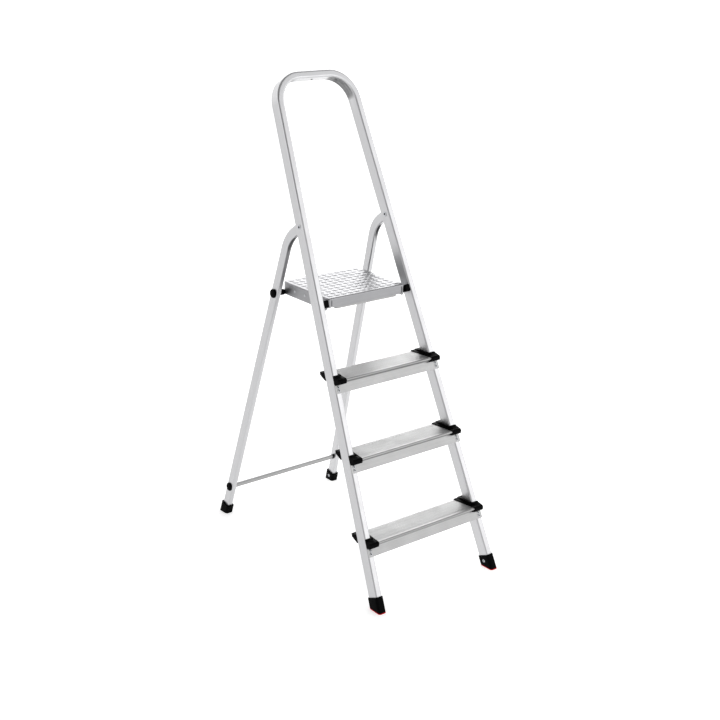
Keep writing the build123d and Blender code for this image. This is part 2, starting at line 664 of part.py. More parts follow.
# ---------------------------------------------------------------- rear legs
with BuildPart() as rear_leg_right:
    bend_way = Vector(-sin(radians(LEG_BEND)), cos(radians(LEG_BEND)))
    leg_end = Vector(-pivot_forward, pivot_along) + bend_way * LEG_DEPTH
    with BuildLine(leg_side) as leg_line:
        FilletPolyline((0, LEG_END), (0, bend_corner), (leg_end.X, leg_end.Y), radius=LEG_BEND_RADIUS)
    with BuildSketch(Plane(origin=leg_line.line @ 0, x_dir=leg_rearward, z_dir=leg_line.line % 0)):
        RectangleRounded(LEG_DEPTH, LEG_WIDTH, LEG_CORNER)
        RectangleRounded(
            LEG_DEPTH - 2 * TUBE_WALL, LEG_WIDTH - 2 * TUBE_WALL, LEG_CORNER - TUBE_WALL,
            mode=Mode.SUBTRACT,
        )
    sweep()
    # the upper end is rounded about the pivot
    pivot_in_leg = leg_side.from_local_coords(Vector(-pivot_forward, pivot_along, 0))
    end_way = leg_rearward * bend_way.X + leg_up * bend_way.Y
    with BuildSketch(Plane(origin=pivot_in_leg, x_dir=end_way, z_dir=leg_outward)):
        Rectangle(2 * LEG_DEPTH, 2 * LEG_DEPTH, align=(Align.MIN, Align.CENTER))
        Circle(LEG_DEPTH / 2, mode=Mode.SUBTRACT)
    extrude(amount=LEG_WIDTH, both=True, mode=Mode.SUBTRACT)
    with Locations(across(pivot.Y, pivot.Z, pivot.X)):
        Cylinder(PIVOT_SHANK / 2 + FIT, 2 * LEG_WIDTH, mode=Mode.SUBTRACT)
    with Locations(across(deck_pivot.Y, deck_pivot.Z, deck_pivot.X)):
        Cylinder(DECK_BOLT / 2 + FIT, 2 * LEG_WIDTH, mode=Mode.SUBTRACT)
    with Locations(across(crossbar_centre.Y, crossbar_centre.Z, crossbar_centre.X)):
        Cylinder(CROSSBAR_BOLT / 2 + FIT, 2 * LEG_WIDTH, mode=Mode.SUBTRACT)
    with Locations(rear_foot_rivet):
        Cylinder(FOOT_RIVET_SHANK / 2 + FIT, LEG_WIDTH, mode=Mode.SUBTRACT)
rear_leg_right.part.label = "rear_leg_right"
export_step(rear_leg_right.part, "parts/rear_leg_right.step")
with BuildPart() as rear_leg_left:
    mirror(rear_leg_right.part, about=Plane.YZ)
rear_leg_left.part.label = "rear_leg_left"
export_step(rear_leg_left.part, "parts/rear_leg_left.step")

# ---------------------------------------------------------------- rear feet
with BuildPart() as rear_foot_right:
    with BuildSketch(leg_plane(-LEG_END)):
        RectangleRounded(LEG_WIDTH + 2 * REAR_BOOT_WALL, LEG_DEPTH + 2 * REAR_BOOT_WALL, REAR_BOOT_CORNER)
    extrude(amount=REAR_BOOT_TOP + LEG_END)
    with BuildSketch(leg_plane(LEG_END)):
        RectangleRounded(LEG_WIDTH + 2 * FIT, LEG_DEPTH + 2 * FIT, LEG_CORNER)
    extrude(amount=REAR_BOOT_TOP, mode=Mode.SUBTRACT)
    split(bisect_by=Plane.XY, keep=Keep.TOP)
    with Locations(rear_foot_rivet):
        Cylinder(FOOT_RIVET_SHANK / 2 + FIT, LEG_WIDTH, mode=Mode.SUBTRACT)
rear_foot_right.part.label = "rear_foot_right"
export_step(rear_foot_right.part, "parts/rear_foot_right.step")
with BuildPart() as rear_foot_left:
    mirror(rear_foot_right.part, about=Plane.YZ)
rear_foot_left.part.label = "rear_foot_left"
export_step(rear_foot_left.part, "parts/rear_foot_left.step")

with BuildPart() as rear_foot_rivets:
    with Locations(*both_sides(rear_foot_rivet)):
        Cone(
            FOOT_RIVET_HEAD / 2, FOOT_RIVET_HEAD / 4, SMALL_RIVET_RISE,
            align=(Align.CENTER, Align.CENTER, Align.MIN),
        )
        Cylinder(
            FOOT_RIVET_SHANK / 2, REAR_BOOT_WALL + TUBE_WALL + 1,
            align=(Align.CENTER, Align.CENTER, Align.MAX),
        )
rear_foot_rivets.part.label = "rear_foot_rivets"
export_step(rear_foot_rivets.part, "parts/rear_foot_rivets.step")

# ---------------------------------------------------------------- crossbar between the rear legs
bar_reach = leg_face_x(CROSSBAR_Z, -1) - 1
bar_tilt = Plane(origin=(0, crossbar_centre.Y, crossbar_centre.Z), x_dir=leg_rearward, z_dir=X_WAY)
with BuildPart() as rear_crossbar:
    with BuildSketch(bar_tilt):
        RectangleRounded(CROSSBAR_DEPTH, CROSSBAR_HEIGHT, CROSSBAR_CORNER)
        RectangleRounded(
            CROSSBAR_DEPTH - 2 * CROSSBAR_WALL, CROSSBAR_HEIGHT - 2 * CROSSBAR_WALL,
            CROSSBAR_CORNER - CROSSBAR_WALL, mode=Mode.SUBTRACT,
        )
    extrude(amount=bar_reach - CROSSBAR_PLUG, both=True)
rear_crossbar.part.label = "rear_crossbar"
export_step(rear_crossbar.part, "parts/rear_crossbar.step")

plug_start = bar_tilt.offset(bar_reach - CROSSBAR_PLUG + FIT)
with BuildPart() as crossbar_end_plugs:
    with BuildSketch(plug_start):
        RectangleRounded(CROSSBAR_DEPTH + CROSSBAR_WALL, CROSSBAR_HEIGHT + CROSSBAR_WALL, CROSSBAR_CORNER)
    extrude(amount=CROSSBAR_PLUG)
    with BuildSketch(plug_start):
        RectangleRounded(
            CROSSBAR_DEPTH - 3 * CROSSBAR_WALL, CROSSBAR_HEIGHT - 3 * CROSSBAR_WALL, CROSSBAR_CORNER / 2
        )
    extrude(amount=-2 * CROSSBAR_PLUG)
    with Locations(across(crossbar_centre.Y, crossbar_centre.Z, bar_reach)):
        Cylinder(CROSSBAR_BOLT / 2 + FIT, 2 * CROSSBAR_PLUG, mode=Mode.SUBTRACT)
    mirror(about=Plane.YZ)
crossbar_end_plugs.part.label = "crossbar_end_plugs"
export_step(crossbar_end_plugs.part, "parts/crossbar_end_plugs.step")

leg_out_low = leg_face_x(CROSSBAR_Z, 1)
with BuildPart() as crossbar_bolts:
    head = across(crossbar_centre.Y, crossbar_centre.Z, leg_out_low + HEAD_STAND_OFF)
    with Locations(*both_sides(head)):
        Cylinder(
            CROSSBAR_BOLT_HEAD / 2, CROSSBAR_BOLT_HEAD_HEIGHT,
            align=(Align.CENTER, Align.CENTER, Align.MIN),
        )
        Cylinder(
            CROSSBAR_BOLT / 2, LEG_WIDTH + CROSSBAR_PLUG, align=(Align.CENTER, Align.CENTER, Align.MAX)
        )
crossbar_bolts.part.label = "crossbar_bolts"
export_step(crossbar_bolts.part, "parts/crossbar_bolts.step")

# ---------------------------------------------------------------- domed caps over the bolt heads
for cap_name, cap_height, hollow in (
    ("crossbar_bolt_caps", CROSSBAR_Z, CROSSBAR_BOLT_HEAD / 2 + 1),
    ("platform_pivot_caps", DECK_PIVOT_Z, DECK_BOLT_HEAD / 2 + 1),
):
    face_plane = leg_plane(along_leg(cap_height))
    cap_plane = Plane(
        origin=face_plane.origin + leg_outward * (LEG_WIDTH / 2), x_dir=leg_rearward, z_dir=leg_outward
    )
    with BuildPart() as bolt_caps:
        with Locations(*both_sides(cap_plane)):
            Cylinder(BOLT_CAP / 2, BOLT_CAP_HEIGHT / 2, align=(Align.CENTER, Align.CENTER, Align.MIN))
        with Locations(*both_sides(cap_plane.offset(BOLT_CAP_HEIGHT / 2))):
            Cone(
                BOLT_CAP / 2, BOLT_CAP / 3, BOLT_CAP_HEIGHT / 2, align=(Align.CENTER, Align.CENTER, Align.MIN)
            )
        with Locations(*both_sides(cap_plane)):
            Cylinder(
                hollow, BOLT_CAP_HOLLOW, align=(Align.CENTER, Align.CENTER, Align.MIN), mode=Mode.SUBTRACT
            )
    bolt_caps.part.label = cap_name
    export_step(bolt_caps.part, f"parts/{cap_name}.step")

# ---------------------------------------------------------------- platform deck: a pressed pan with a folded flange
flange_rivets = [across(rivet_y, DECK_TOP - DECK_RIVET_DOWN, DECK_HALF_WIDTH) for rivet_y in DECK_RIVETS_Y]
with BuildPart() as deck_hollow:
    with BuildSketch(Plane.XY.offset(DECK_TOP - DECK_SHEET)) as hollow_outline:
        with Locations((0, (DECK_FRONT + DECK_REAR) / 2)):
            Rectangle(2 * (DECK_HALF_WIDTH - DECK_SHEET), DECK_REAR - DECK_FRONT - 2 * DECK_SHEET)
        fillet(hollow_outline.vertices().group_by(Axis.Y)[-1], DECK_REAR_CORNER - DECK_SHEET)
        fillet(hollow_outline.vertices().group_by(Axis.Y)[0], DECK_FRONT_CORNER - DECK_SHEET)
    extrude(amount=-DECK_FLANGE)
    fillet(deck_hollow.faces().sort_by(Axis.Z)[-1].edges(), DECK_EDGE_RADIUS - DECK_SHEET)
with BuildPart() as platform_deck:
    with BuildSketch(Plane.XY.offset(DECK_TOP)) as deck_outline:
        with Locations((0, (DECK_FRONT + DECK_REAR) / 2)):
            Rectangle(2 * DECK_HALF_WIDTH, DECK_REAR - DECK_FRONT)
        fillet(deck_outline.vertices().group_by(Axis.Y)[-1], DECK_REAR_CORNER)
        fillet(deck_outline.vertices().group_by(Axis.Y)[0], DECK_FRONT_CORNER)
    extrude(amount=-DECK_FLANGE)
    fillet(platform_deck.faces().sort_by(Axis.Z)[-1].edges(), DECK_EDGE_RADIUS)
    add(deck_hollow.part, mode=Mode.SUBTRACT)
    # the front flange is shallower than the sides
    with Locations((0, DECK_FRONT, DECK_TOP - DECK_FRONT_FLANGE)):
        Box(
            2 * WIDTH, 2 * DECK_FRONT_CORNER, DECK_FLANGE,
            align=(Align.CENTER, Align.CENTER, Align.MAX), mode=Mode.SUBTRACT,
        )
    # raised studs
    with BuildSketch(Plane.XY.offset(DECK_TOP - DECK_SHEET / 2)):
        with Locations((0, (DECK_FRONT + DECK_REAR) / 2)):
            with GridLocations(STUD_PITCH_X, STUD_PITCH_Y, STUD_COLUMNS, STUD_ROWS):
                SlotOverall(STUD_LENGTH, STUD_WIDTH)
    extrude(amount=STUD_HEIGHT + DECK_SHEET / 2, taper=15)
    # holes for the bushes, the hook pins and the rivets
    with Locations(across(deck_pivot.Y, deck_pivot.Z)):
        Cylinder(DECK_BUSH_SPIGOT / 2 + FIT, WIDTH, mode=Mode.SUBTRACT)
    with Locations(across(hook_pin_y, hook_pin_z)):
        Cylinder(HOOK_PIN / 2 + FIT, WIDTH, mode=Mode.SUBTRACT)
    for flange_rivet in flange_rivets:
        with Locations(*both_sides(flange_rivet)):
            Cylinder(DECK_RIVET / 2 + FIT, 8 * DECK_SHEET, mode=Mode.SUBTRACT)
platform_deck.part.label = "platform_deck"
export_step(platform_deck.part, "parts/platform_deck.step")

# hinge plates inside the side flanges, which carry the bushes
with BuildPart() as platform_hinge_plates:
    plate_x = DECK_HALF_WIDTH - DECK_SHEET - FIT
    with BuildSketch(Plane.XY.offset(DECK_TOP - DECK_SHEET - 6)):
        with BuildLine() as plate_line:
            Polyline(
                (plate_x, PLATE_FRONT), (plate_x, PLATE_BEND[0]),
                (plate_x - PLATE_JOGGLE, PLATE_BEND[1]), (plate_x - PLATE_JOGGLE, deck_pivot.Y + 2),
            )
            offset(amount=PLATE_THICK, side=Side.LEFT, closed=True)
        make_face()
    extrude(amount=-(DECK_FLANGE - DECK_SHEET - 8))
    with Locations(across(deck_pivot.Y, deck_pivot.Z)):
        Cylinder(DECK_BUSH_SPIGOT / 2 + FIT, WIDTH, mode=Mode.SUBTRACT)
    for flange_rivet in flange_rivets:
        with Locations(flange_rivet):
            Cylinder(DECK_RIVET / 2 + FIT, 8 * DECK_SHEET, mode=Mode.SUBTRACT)
    mirror(about=Plane.YZ)
platform_hinge_plates.part.label = "platform_hinge_plates"
export_step(platform_hinge_plates.part, "parts/platform_hinge_plates.step")

with BuildPart() as platform_rivets:
    for flange_rivet in flange_rivets:
        with Locations(*both_sides(flange_rivet)):
            Cone(
                DECK_RIVET_HEAD / 2, DECK_RIVET / 2, SMALL_RIVET_RISE,
                align=(Align.CENTER, Align.CENTER, Align.MIN),
            )
            Cylinder(
                DECK_RIVET / 2, DECK_SHEET + 2 * PLATE_THICK, align=(Align.CENTER, Align.CENTER, Align.MAX)
            )
platform_rivets.part.label = "platform_rivets"
export_step(platform_rivets.part, "parts/platform_rivets.step")

# channel under the deck's front edge
with BuildPart() as platform_front_stiffener:
    channel_front = DECK_FRONT + DECK_SHEET + GAP
    with BuildSketch(Plane.YZ.offset(-STIFFENER_HALF_LENGTH)):
        with Locations((channel_front, DECK_TOP - DECK_SHEET - FIT)):
            Rectangle(STIFFENER_DEPTH, STIFFENER_DROP - DECK_SHEET, align=(Align.MIN, Align.MAX))
        with Locations((channel_front + DECK_SHEET, DECK_TOP - 2 * DECK_SHEET - FIT)):
            Rectangle(
                STIFFENER_DEPTH, STIFFENER_DROP - 3 * DECK_SHEET,
                align=(Align.MIN, Align.MAX), mode=Mode.SUBTRACT,
            )
    extrude(amount=2 * STIFFENER_HALF_LENGTH)
    # rounded like the inside of the deck's front edge
    channel_edges = platform_front_stiffener.edges().filter_by(Axis.X).group_by(Axis.Z)[-1]
    fillet(channel_edges.sort_by(Axis.Y)[0], DECK_EDGE_RADIUS - DECK_SHEET + GAP)
platform_front_stiffener.part.label = "platform_front_stiffener"
export_step(platform_front_stiffener.part, "parts/platform_front_stiffener.step")

# hook pins, headed inside the side flanges
with BuildPart() as platform_front_pins:
    pin_start = DECK_HALF_WIDTH - DECK_SHEET - FIT
    with Locations(*both_sides(across(hook_pin_y, hook_pin_z, pin_start))):
        Cylinder(HOOK_PIN / 2, HOOK_PIN_TIP - pin_start, align=(Align.CENTER, Align.CENTER, Align.MIN))
        Cylinder(HOOK_PIN / 2 + 2, 2, align=(Align.CENTER, Align.CENTER, Align.MAX))
platform_front_pins.part.label = "platform_front_pins"
export_step(platform_front_pins.part, "parts/platform_front_pins.step")

# ---------------------------------------------------------------- platform pivots on the rear legs
leg_in = leg_face_x(DECK_PIVOT_Z, -1)
leg_out = leg_face_x(DECK_PIVOT_Z, 1)
with BuildPart() as platform_pivot_bushes:
    bush_start = across(deck_pivot.Y, deck_pivot.Z, DECK_HALF_WIDTH + FIT)
    with Locations(*both_sides(bush_start)):
        Cylinder(
            DECK_BUSH_COLLAR / 2, leg_in - 4 * GAP - DECK_HALF_WIDTH,
            align=(Align.CENTER, Align.CENTER, Align.MIN),
        )
        Cylinder(DECK_BUSH_SPIGOT / 2, BUSH_SPIGOT_LENGTH, align=(Align.CENTER, Align.CENTER, Align.MAX))
    with Locations(across(deck_pivot.Y, deck_pivot.Z)):
        Cylinder(DECK_BOLT / 2 + FIT, WIDTH, mode=Mode.SUBTRACT)
platform_pivot_bushes.part.label = "platform_pivot_bushes"
export_step(platform_pivot_bushes.part, "parts/platform_pivot_bushes.step")

bolt_end = DECK_HALF_WIDTH - BUSH_SPIGOT_LENGTH - GAP
with BuildPart() as platform_pivot_bolts:
    head_x = leg_out + HEAD_STAND_OFF
    with Locations(*both_sides(across(deck_pivot.Y, deck_pivot.Z, head_x))):
        Cylinder(
            DECK_BOLT_HEAD / 2, DECK_BOLT_HEAD_HEIGHT, align=(Align.CENTER, Align.CENTER, Align.MIN)
        )
        Cylinder(
            DECK_BOLT / 2, head_x - bolt_end + DECK_BOLT, align=(Align.CENTER, Align.CENTER, Align.MAX)
        )
platform_pivot_bolts.part.label = "platform_pivot_bolts"
export_step(platform_pivot_bolts.part, "parts/platform_pivot_bolts.step")

with BuildPart() as platform_pivot_nuts:
    nut_plane = across(deck_pivot.Y, deck_pivot.Z, bolt_end)
    for place in both_sides(Plane(origin=nut_plane.origin, x_dir=nut_plane.x_dir, z_dir=-nut_plane.z_dir)):
        with BuildSketch(place):
            RegularPolygon(DECK_BOLT_HEAD / 2, 6, major_radius=False, rotation=30)
            Circle(DECK_BOLT / 2 + FIT, mode=Mode.SUBTRACT)
        extrude(amount=NUT_HEIGHT)
platform_pivot_nuts.part.label = "platform_pivot_nuts"
export_step(platform_pivot_nuts.part, "parts/platform_pivot_nuts.step")

# ---------------------------------------------------------------- joint axes, for the record
print("fold axis y, z", round(pivot.Y, 3), round(pivot.Z, 3))
print("platform axis y, z", round(deck_pivot.Y, 3), round(deck_pivot.Z, 3))
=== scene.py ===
import json
from math import asin, atan, cos, exp, hypot, pi, radians, sin, sqrt, tan

import bmesh
import bpy
from mathutils import Matrix, Vector


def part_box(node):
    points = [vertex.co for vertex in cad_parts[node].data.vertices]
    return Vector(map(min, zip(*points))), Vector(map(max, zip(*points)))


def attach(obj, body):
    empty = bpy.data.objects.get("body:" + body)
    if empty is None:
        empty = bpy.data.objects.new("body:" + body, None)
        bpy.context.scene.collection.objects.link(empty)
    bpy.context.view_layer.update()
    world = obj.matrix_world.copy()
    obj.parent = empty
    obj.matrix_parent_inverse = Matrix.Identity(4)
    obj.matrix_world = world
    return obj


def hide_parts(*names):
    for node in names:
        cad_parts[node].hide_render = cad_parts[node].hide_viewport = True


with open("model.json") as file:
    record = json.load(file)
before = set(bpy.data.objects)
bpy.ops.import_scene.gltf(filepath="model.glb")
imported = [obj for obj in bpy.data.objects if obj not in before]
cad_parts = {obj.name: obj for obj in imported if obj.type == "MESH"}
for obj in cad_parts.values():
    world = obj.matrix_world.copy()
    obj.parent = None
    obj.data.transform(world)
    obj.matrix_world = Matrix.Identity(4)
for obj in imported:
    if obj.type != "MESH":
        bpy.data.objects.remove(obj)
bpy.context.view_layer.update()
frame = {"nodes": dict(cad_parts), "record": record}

# Lengths are in millimetres until a point is placed, which MM turns into metres.
MM = 0.001

# ---------------------------------------- sizes of the ladder's pieces
FRONT_LEAN = radians(25.13)
UPRIGHT_TAPER = 0.0539
TUBE_WIDTH, TUBE_DEPTH, TUBE_CORNER = 20.0, 35.0, 4.5
TUBE_END = 22.0
HOOP_RADIUS = 78.0
FRONT_BOOT_WALL, FRONT_BOOT_CORNER = 2.5, 6.5

REAR_LEAN = radians(14.14)
LEG_TAPER = 0.0545
LEG_WIDTH, LEG_DEPTH, LEG_CORNER = 15.5, 27.0, 3.5
LEG_END = 9.0
LEG_BEND, LEG_BEND_RADIUS = radians(41), 100.0
REAR_BOOT_WALL = 4.5

PIVOT_UP = 1027.0
TREAD_WALL, FASCIA_DROP = 2.0, 36.0
RIVET_RISES = (6.5, 15.5)
DECK_SHEET, DECK_FLANGE, DECK_FRONT_FLANGE = 1.5, 34.0, 26.0

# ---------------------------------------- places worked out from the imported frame
splay = atan(UPRIGHT_TAPER)
leg_splay = atan(LEG_TAPER)
sole_low, sole_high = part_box("front_foot_sole_right")
front_floor_y = sole_low.y / MM + FRONT_BOOT_WALL / cos(FRONT_LEAN)
floor_half = (
    sole_high.x / MM - FRONT_BOOT_WALL / cos(splay)
    + UPRIGHT_TAPER * (FRONT_BOOT_CORNER - FRONT_BOOT_WALL) * tan(FRONT_LEAN)
)
hoop_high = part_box("front_frame_tube")[1].z / MM
joints = frame["record"]["behaviour"]["joints"]
joint_places = {joint["name"]: Vector(joint["pos_m"]) / MM for joint in joints}
pivot_y, pivot_z = joint_places["fold"].yz
deck_pivot_z = joint_places["platform_tip"].z


def centre_x(up):
    """Half the distance between the uprights' centre lines, at a length up the frame."""
    return floor_half - UPRIGHT_TAPER * up - TUBE_WIDTH / 2 / cos(splay)


def frame_point(x, up, behind=TUBE_DEPTH / 2):
    """A place on the leaning front frame."""
    return Vector((
        x,
        front_floor_y + up * sin(FRONT_LEAN) + behind * cos(FRONT_LEAN),
        up * cos(FRONT_LEAN) - behind * sin(FRONT_LEAN),
    ))


X_WAY = Vector((1, 0, 0))
up_frame = Vector((0, sin(FRONT_LEAN), cos(FRONT_LEAN)))
out_of_frame = Vector((0, -cos(FRONT_LEAN), sin(FRONT_LEAN)))
leg_rearward = Vector((0, cos(REAR_LEAN), sin(REAR_LEAN)))
leg_up = Vector((-sin(leg_splay), -cos(leg_splay) * sin(REAR_LEAN), cos(leg_splay) * cos(REAR_LEAN)))
leg_outward = leg_rearward.cross(leg_up)
leg_floor_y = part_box("rear_foot_right")[1].y / MM - (LEG_DEPTH / 2 + REAR_BOOT_WALL) / cos(REAR_LEAN)
pivot_forward = (leg_floor_y - pivot_y) * cos(REAR_LEAN) - pivot_z * sin(REAR_LEAN)
pivot_along = ((leg_floor_y - pivot_y) * sin(REAR_LEAN) + pivot_z * cos(REAR_LEAN)) / cos(leg_splay)
leg_floor = Vector((centre_x(PIVOT_UP) + pivot_along * sin(leg_splay), leg_floor_y, 0))


def leg_point(height, outward=0.0):
    """A place over the right leg's centre line, at a height above the floor."""
    return leg_floor + leg_up * (height / leg_up.z) + leg_outward * outward


# ---------------------------------------- materials
def set_range(node, from_low, from_high, low, high):
    """Sets both ends of a Map Range node's two ranges."""
    ends = {"From Min": from_low, "From Max": from_high, "To Min": low, "To Max": high}
    for name, number in ends.items():
        node.inputs[name].default_value = number


class Nodes:
    """Builds one material's nodes, and sets every constant on the shader's own sockets."""

    def __init__(self, name):
        self.material = bpy.data.materials.new(name)
        self.material.use_nodes = True
        self.tree = self.material.node_tree
        self.shader = self.tree.nodes["Principled BSDF"]

    def add(self, kind, settings=None, **inputs):
        """A new node, with its settings and its inputs' values or links."""
        node = self.tree.nodes.new(kind)
        for name, value in (settings or {}).items():
            setattr(node, name, value)
        for name, value in inputs.items():
            self.put(node.inputs[name.replace("_", " ")], value)
        return node

    def put(self, socket, value):
        """Links another node's output to the socket, or sets a constant on it."""
        if isinstance(value, bpy.types.NodeSocket):
            self.tree.links.new(value, socket)
        else:
            socket.default_value = value

    def set(self, **inputs):
        """Sets or links the shader's own inputs."""
        for name, value in inputs.items():
            self.put(self.shader.inputs[name.replace("_", " ")], value)

    def noise(self, place, scale, detail=3.0, roughness=0.55):
        """Cloudy noise, from 0 to 1."""
        return self.add(
            "ShaderNodeTexNoise", Vector=place, Scale=scale, Detail=detail, Roughness=roughness
        ).outputs["Fac"]

    def stretched(self, place, scale):
        """The place multiplied by a scale along each axis."""
        return self.add("ShaderNodeMapping", Vector=place, Scale=scale).outputs["Vector"]

    def remap(self, value, low, high, from_low=0.3, from_high=0.7):
        """Moves a value from one range to another, and stops it at the new range's ends."""
        node = self.add("ShaderNodeMapRange", Value=value)
        set_range(node, from_low, from_high, low, high)
        return node.outputs["Result"]

    def blend(self, factor, first, second):
        """A mix of two colours."""
        node = self.add("ShaderNodeMix", {"data_type": "RGBA"})
        self.put(node.inputs["Factor"], factor)
        self.put(node.inputs[6], (*first, 1) if isinstance(first, tuple) else first)
        self.put(node.inputs[7], (*second, 1) if isinstance(second, tuple) else second)
        return node.outputs[2]

    def maths(self, operation, first, second):
        """One sum on two values."""
        node = self.add("ShaderNodeMath", {"operation": operation})
        self.put(node.inputs[0], first)
        self.put(node.inputs[1], second)
        return node.outputs[0]

    def bump(self, height, strength, distance, normal=None):
        """A surface direction tilted by a height, over another one if it's given."""
        node = self.add("ShaderNodeBump", Height=height, Strength=strength, Distance=distance)
        if normal is not None:
            self.put(node.inputs["Normal"], normal)
        return node.outputs["Normal"]


# Noise cells to a metre, twice across the metal's grain and once along it.
DRAWN_LINES, DRAWN_STREAKS, SCUFFS = (2600, 2600, 14), (700, 700, 3.0), (160, 160, 90)
SCUFF_SHADE = 0.72         # of the darker colour
SCUFF_FROM, SCUFF_TO = 0.62, 0.72          # the noise levels over which a scuff fades in
SCUFF_SHARE, SCUFF_ROUGHER = 0.25, 0.12
CLOUD_SMOOTHER, CLOUD_ROUGHER, LINE_ROUGHER = 0.04, 0.05, 0.04
LINE_BUMP, CLOUD_BUMP, REED_BUMP = 0.35, 0.05, 0.35
CLOUD_HEIGHT, REED_HEIGHT = 0.0009, 0.00012          # metres
CREASE_SHADE_TONE = 0.05       # of the darker colour: painted shade in the dents and creases inside the bends
REED_PITCH = 0.0021        # metres between the fine reeds along the treads


def aluminium(name, light, dark, roughness, grain_height, reeds=0.0):
    """Drawn or rolled aluminium: the grain attribute holds two lengths across the grain and one along it.

    The other attribute holds painted shade: 1 where it darkens the dents and creases inside the bends, 0
    elsewhere.
    """
    made = Nodes(name)
    grain = made.add("ShaderNodeAttribute", {"attribute_name": "grain"}).outputs["Vector"]
    lines = made.noise(made.stretched(grain, DRAWN_LINES), 1.0, 2.0)
    streaks = made.noise(made.stretched(grain, DRAWN_STREAKS), 1.0, 4.0)
    clouds = made.noise(grain, 22, 3.0)
    scuffs = made.noise(made.stretched(grain, SCUFFS), 1.0, 6.0, 0.7)
    scuffed = made.remap(scuffs, 0.0, 1.0, SCUFF_FROM, SCUFF_TO)
    colour = made.blend(made.remap(streaks, 0.0, 1.0), dark, light)
    worn = made.maths("MULTIPLY", scuffed, SCUFF_SHARE)
    colour = made.blend(worn, colour, tuple(c * SCUFF_SHADE for c in dark))
    # Painted shade in the dents and creases inside the bends, read from a point attribute.
    crease_shade = made.add("ShaderNodeAttribute", {"attribute_name": "crease_shade"}).outputs["Fac"]
    shaded_creases = made.maths("MULTIPLY", crease_shade, made.remap(streaks, 0.55, 1.0))
    colour = made.blend(shaded_creases, colour, tuple(c * CREASE_SHADE_TONE for c in dark))
    cloudy = made.remap(clouds, roughness - CLOUD_SMOOTHER, roughness + CLOUD_ROUGHER)
    rough = made.maths("ADD", cloudy, made.remap(lines, -LINE_ROUGHER, LINE_ROUGHER))
    rough = made.maths("ADD", rough, made.maths("MULTIPLY", scuffed, SCUFF_ROUGHER))
    normal = made.bump(lines, LINE_BUMP, grain_height)
    normal = made.bump(clouds, CLOUD_BUMP, CLOUD_HEIGHT, normal)
    if reeds:
        across = made.add("ShaderNodeSeparateXYZ", Vector=grain).outputs["X"]
        wave = made.maths("SINE", made.maths("MULTIPLY", across, 2 * pi / reeds), 0.0)
        normal = made.bump(wave, REED_BUMP, REED_HEIGHT, normal)
    made.set(Base_Color=colour, Metallic=1.0, Roughness=rough, Normal=normal)
    return made.material


def plastic(name, colour, roughness, pebble, specular=0.5):
    """Moulded plastic or rubber with a fine spark-eroded texture."""
    made = Nodes(name)
    place = made.add("ShaderNodeTexCoord").outputs["Object"]
    fine = made.noise(place, 2600, 2.0)
    broad = made.noise(place, 60, 4.0)
    tint = made.blend(made.remap(broad, 0.0, 1.0), colour, tuple(c * 1.5 + 0.002 for c in colour))
    rough = made.remap(broad, roughness - 0.05, roughness + 0.08)
    normal = made.bump(fine, 0.5, pebble, made.bump(broad, 0.1, 0.0006))
    made.set(Base_Color=tint, Roughness=rough, Normal=normal, Specular_IOR_Level=specular)
    return made.material


def zinc_steel(name):
    """Zinc plating: faintly spangled, with soft changes of tone."""
    made = Nodes(name)
    place = made.add("ShaderNodeTexCoord").outputs["Object"]
    cells = made.add("ShaderNodeTexVoronoi", Vector=place, Scale=900.0).outputs["Distance"]
    broad = made.noise(place, 240, 3.0)
    tint = made.blend(made.remap(broad, 0.0, 1.0), (0.42, 0.43, 0.45), (0.62, 0.63, 0.65))
    made.set(
        Base_Color=tint, Metallic=1.0, Roughness=made.remap(broad, 0.26, 0.42),
        Normal=made.bump(cells, 0.15, 0.00008),
    )
    return made.material


LOOKS = {
    "frame_aluminium": aluminium(
        "frame_aluminium", light=(0.57, 0.57, 0.58), dark=(0.53, 0.53, 0.54),
        roughness=0.32, grain_height=0.00003,
    ),
    "tread_aluminium": aluminium(
        "tread_aluminium", light=(0.38, 0.38, 0.38), dark=(0.345, 0.345, 0.345),
        roughness=0.38, grain_height=0.00005, reeds=REED_PITCH,
    ),
    "deck_aluminium": aluminium(
        "deck_aluminium", light=(0.34, 0.34, 0.35), dark=(0.31, 0.31, 0.32),
        roughness=0.38, grain_height=0.00003,
    ),
    "zinc_steel": zinc_steel("zinc_steel"),
    "black_plastic": plastic(
        "black_plastic", colour=(0.0012, 0.0012, 0.0014), roughness=0.36, pebble=0.00005, specular=0.015
    ),
    "red_rubber": plastic(
        "red_rubber", colour=(0.42, 0.004, 0.008), roughness=0.55, pebble=0.00008, specular=0.2
    ),
}

# ---------------------------------------- mesh tools
FRAME_GRAIN = (X_WAY, out_of_frame, up_frame)
TREAD_GRAIN = (Vector((0, 1, 0)), Vector((0, 0, 1)), X_WAY)
CROSSBAR_GRAIN = (Vector((0, 0, 1)), Vector((0, 1, 0)), X_WAY)
SMOOTH_UNDER = radians(32)
ROUND_STEPS = 32           # round a turned shape


def new_piece(name, places, faces, body, slot, stands_for, grain=None, smooth=SMOOTH_UNDER, crease_shade=None):
    """A mesh from points in millimetres.

    grain gives each point's two lengths across the metal's grain and its length along it.
    The last argument gives how much painted shade each point has, in the dents and creases of the bends.
    """
    mesh = bpy.data.meshes.new(name)
    mesh.from_pydata([Vector(p) * MM for p in places], [], faces)
    if grain:
        layer = mesh.attributes.new("grain", "FLOAT_VECTOR", "POINT")
        layer.data.foreach_set("vector", [value * MM for place in grain for value in place])
    if crease_shade:
        mesh.attributes.new("crease_shade", "FLOAT", "POINT").data.foreach_set("value", crease_shade)
    mesh.validate()
    return finish_piece(name, mesh, body, slot, stands_for, smooth)


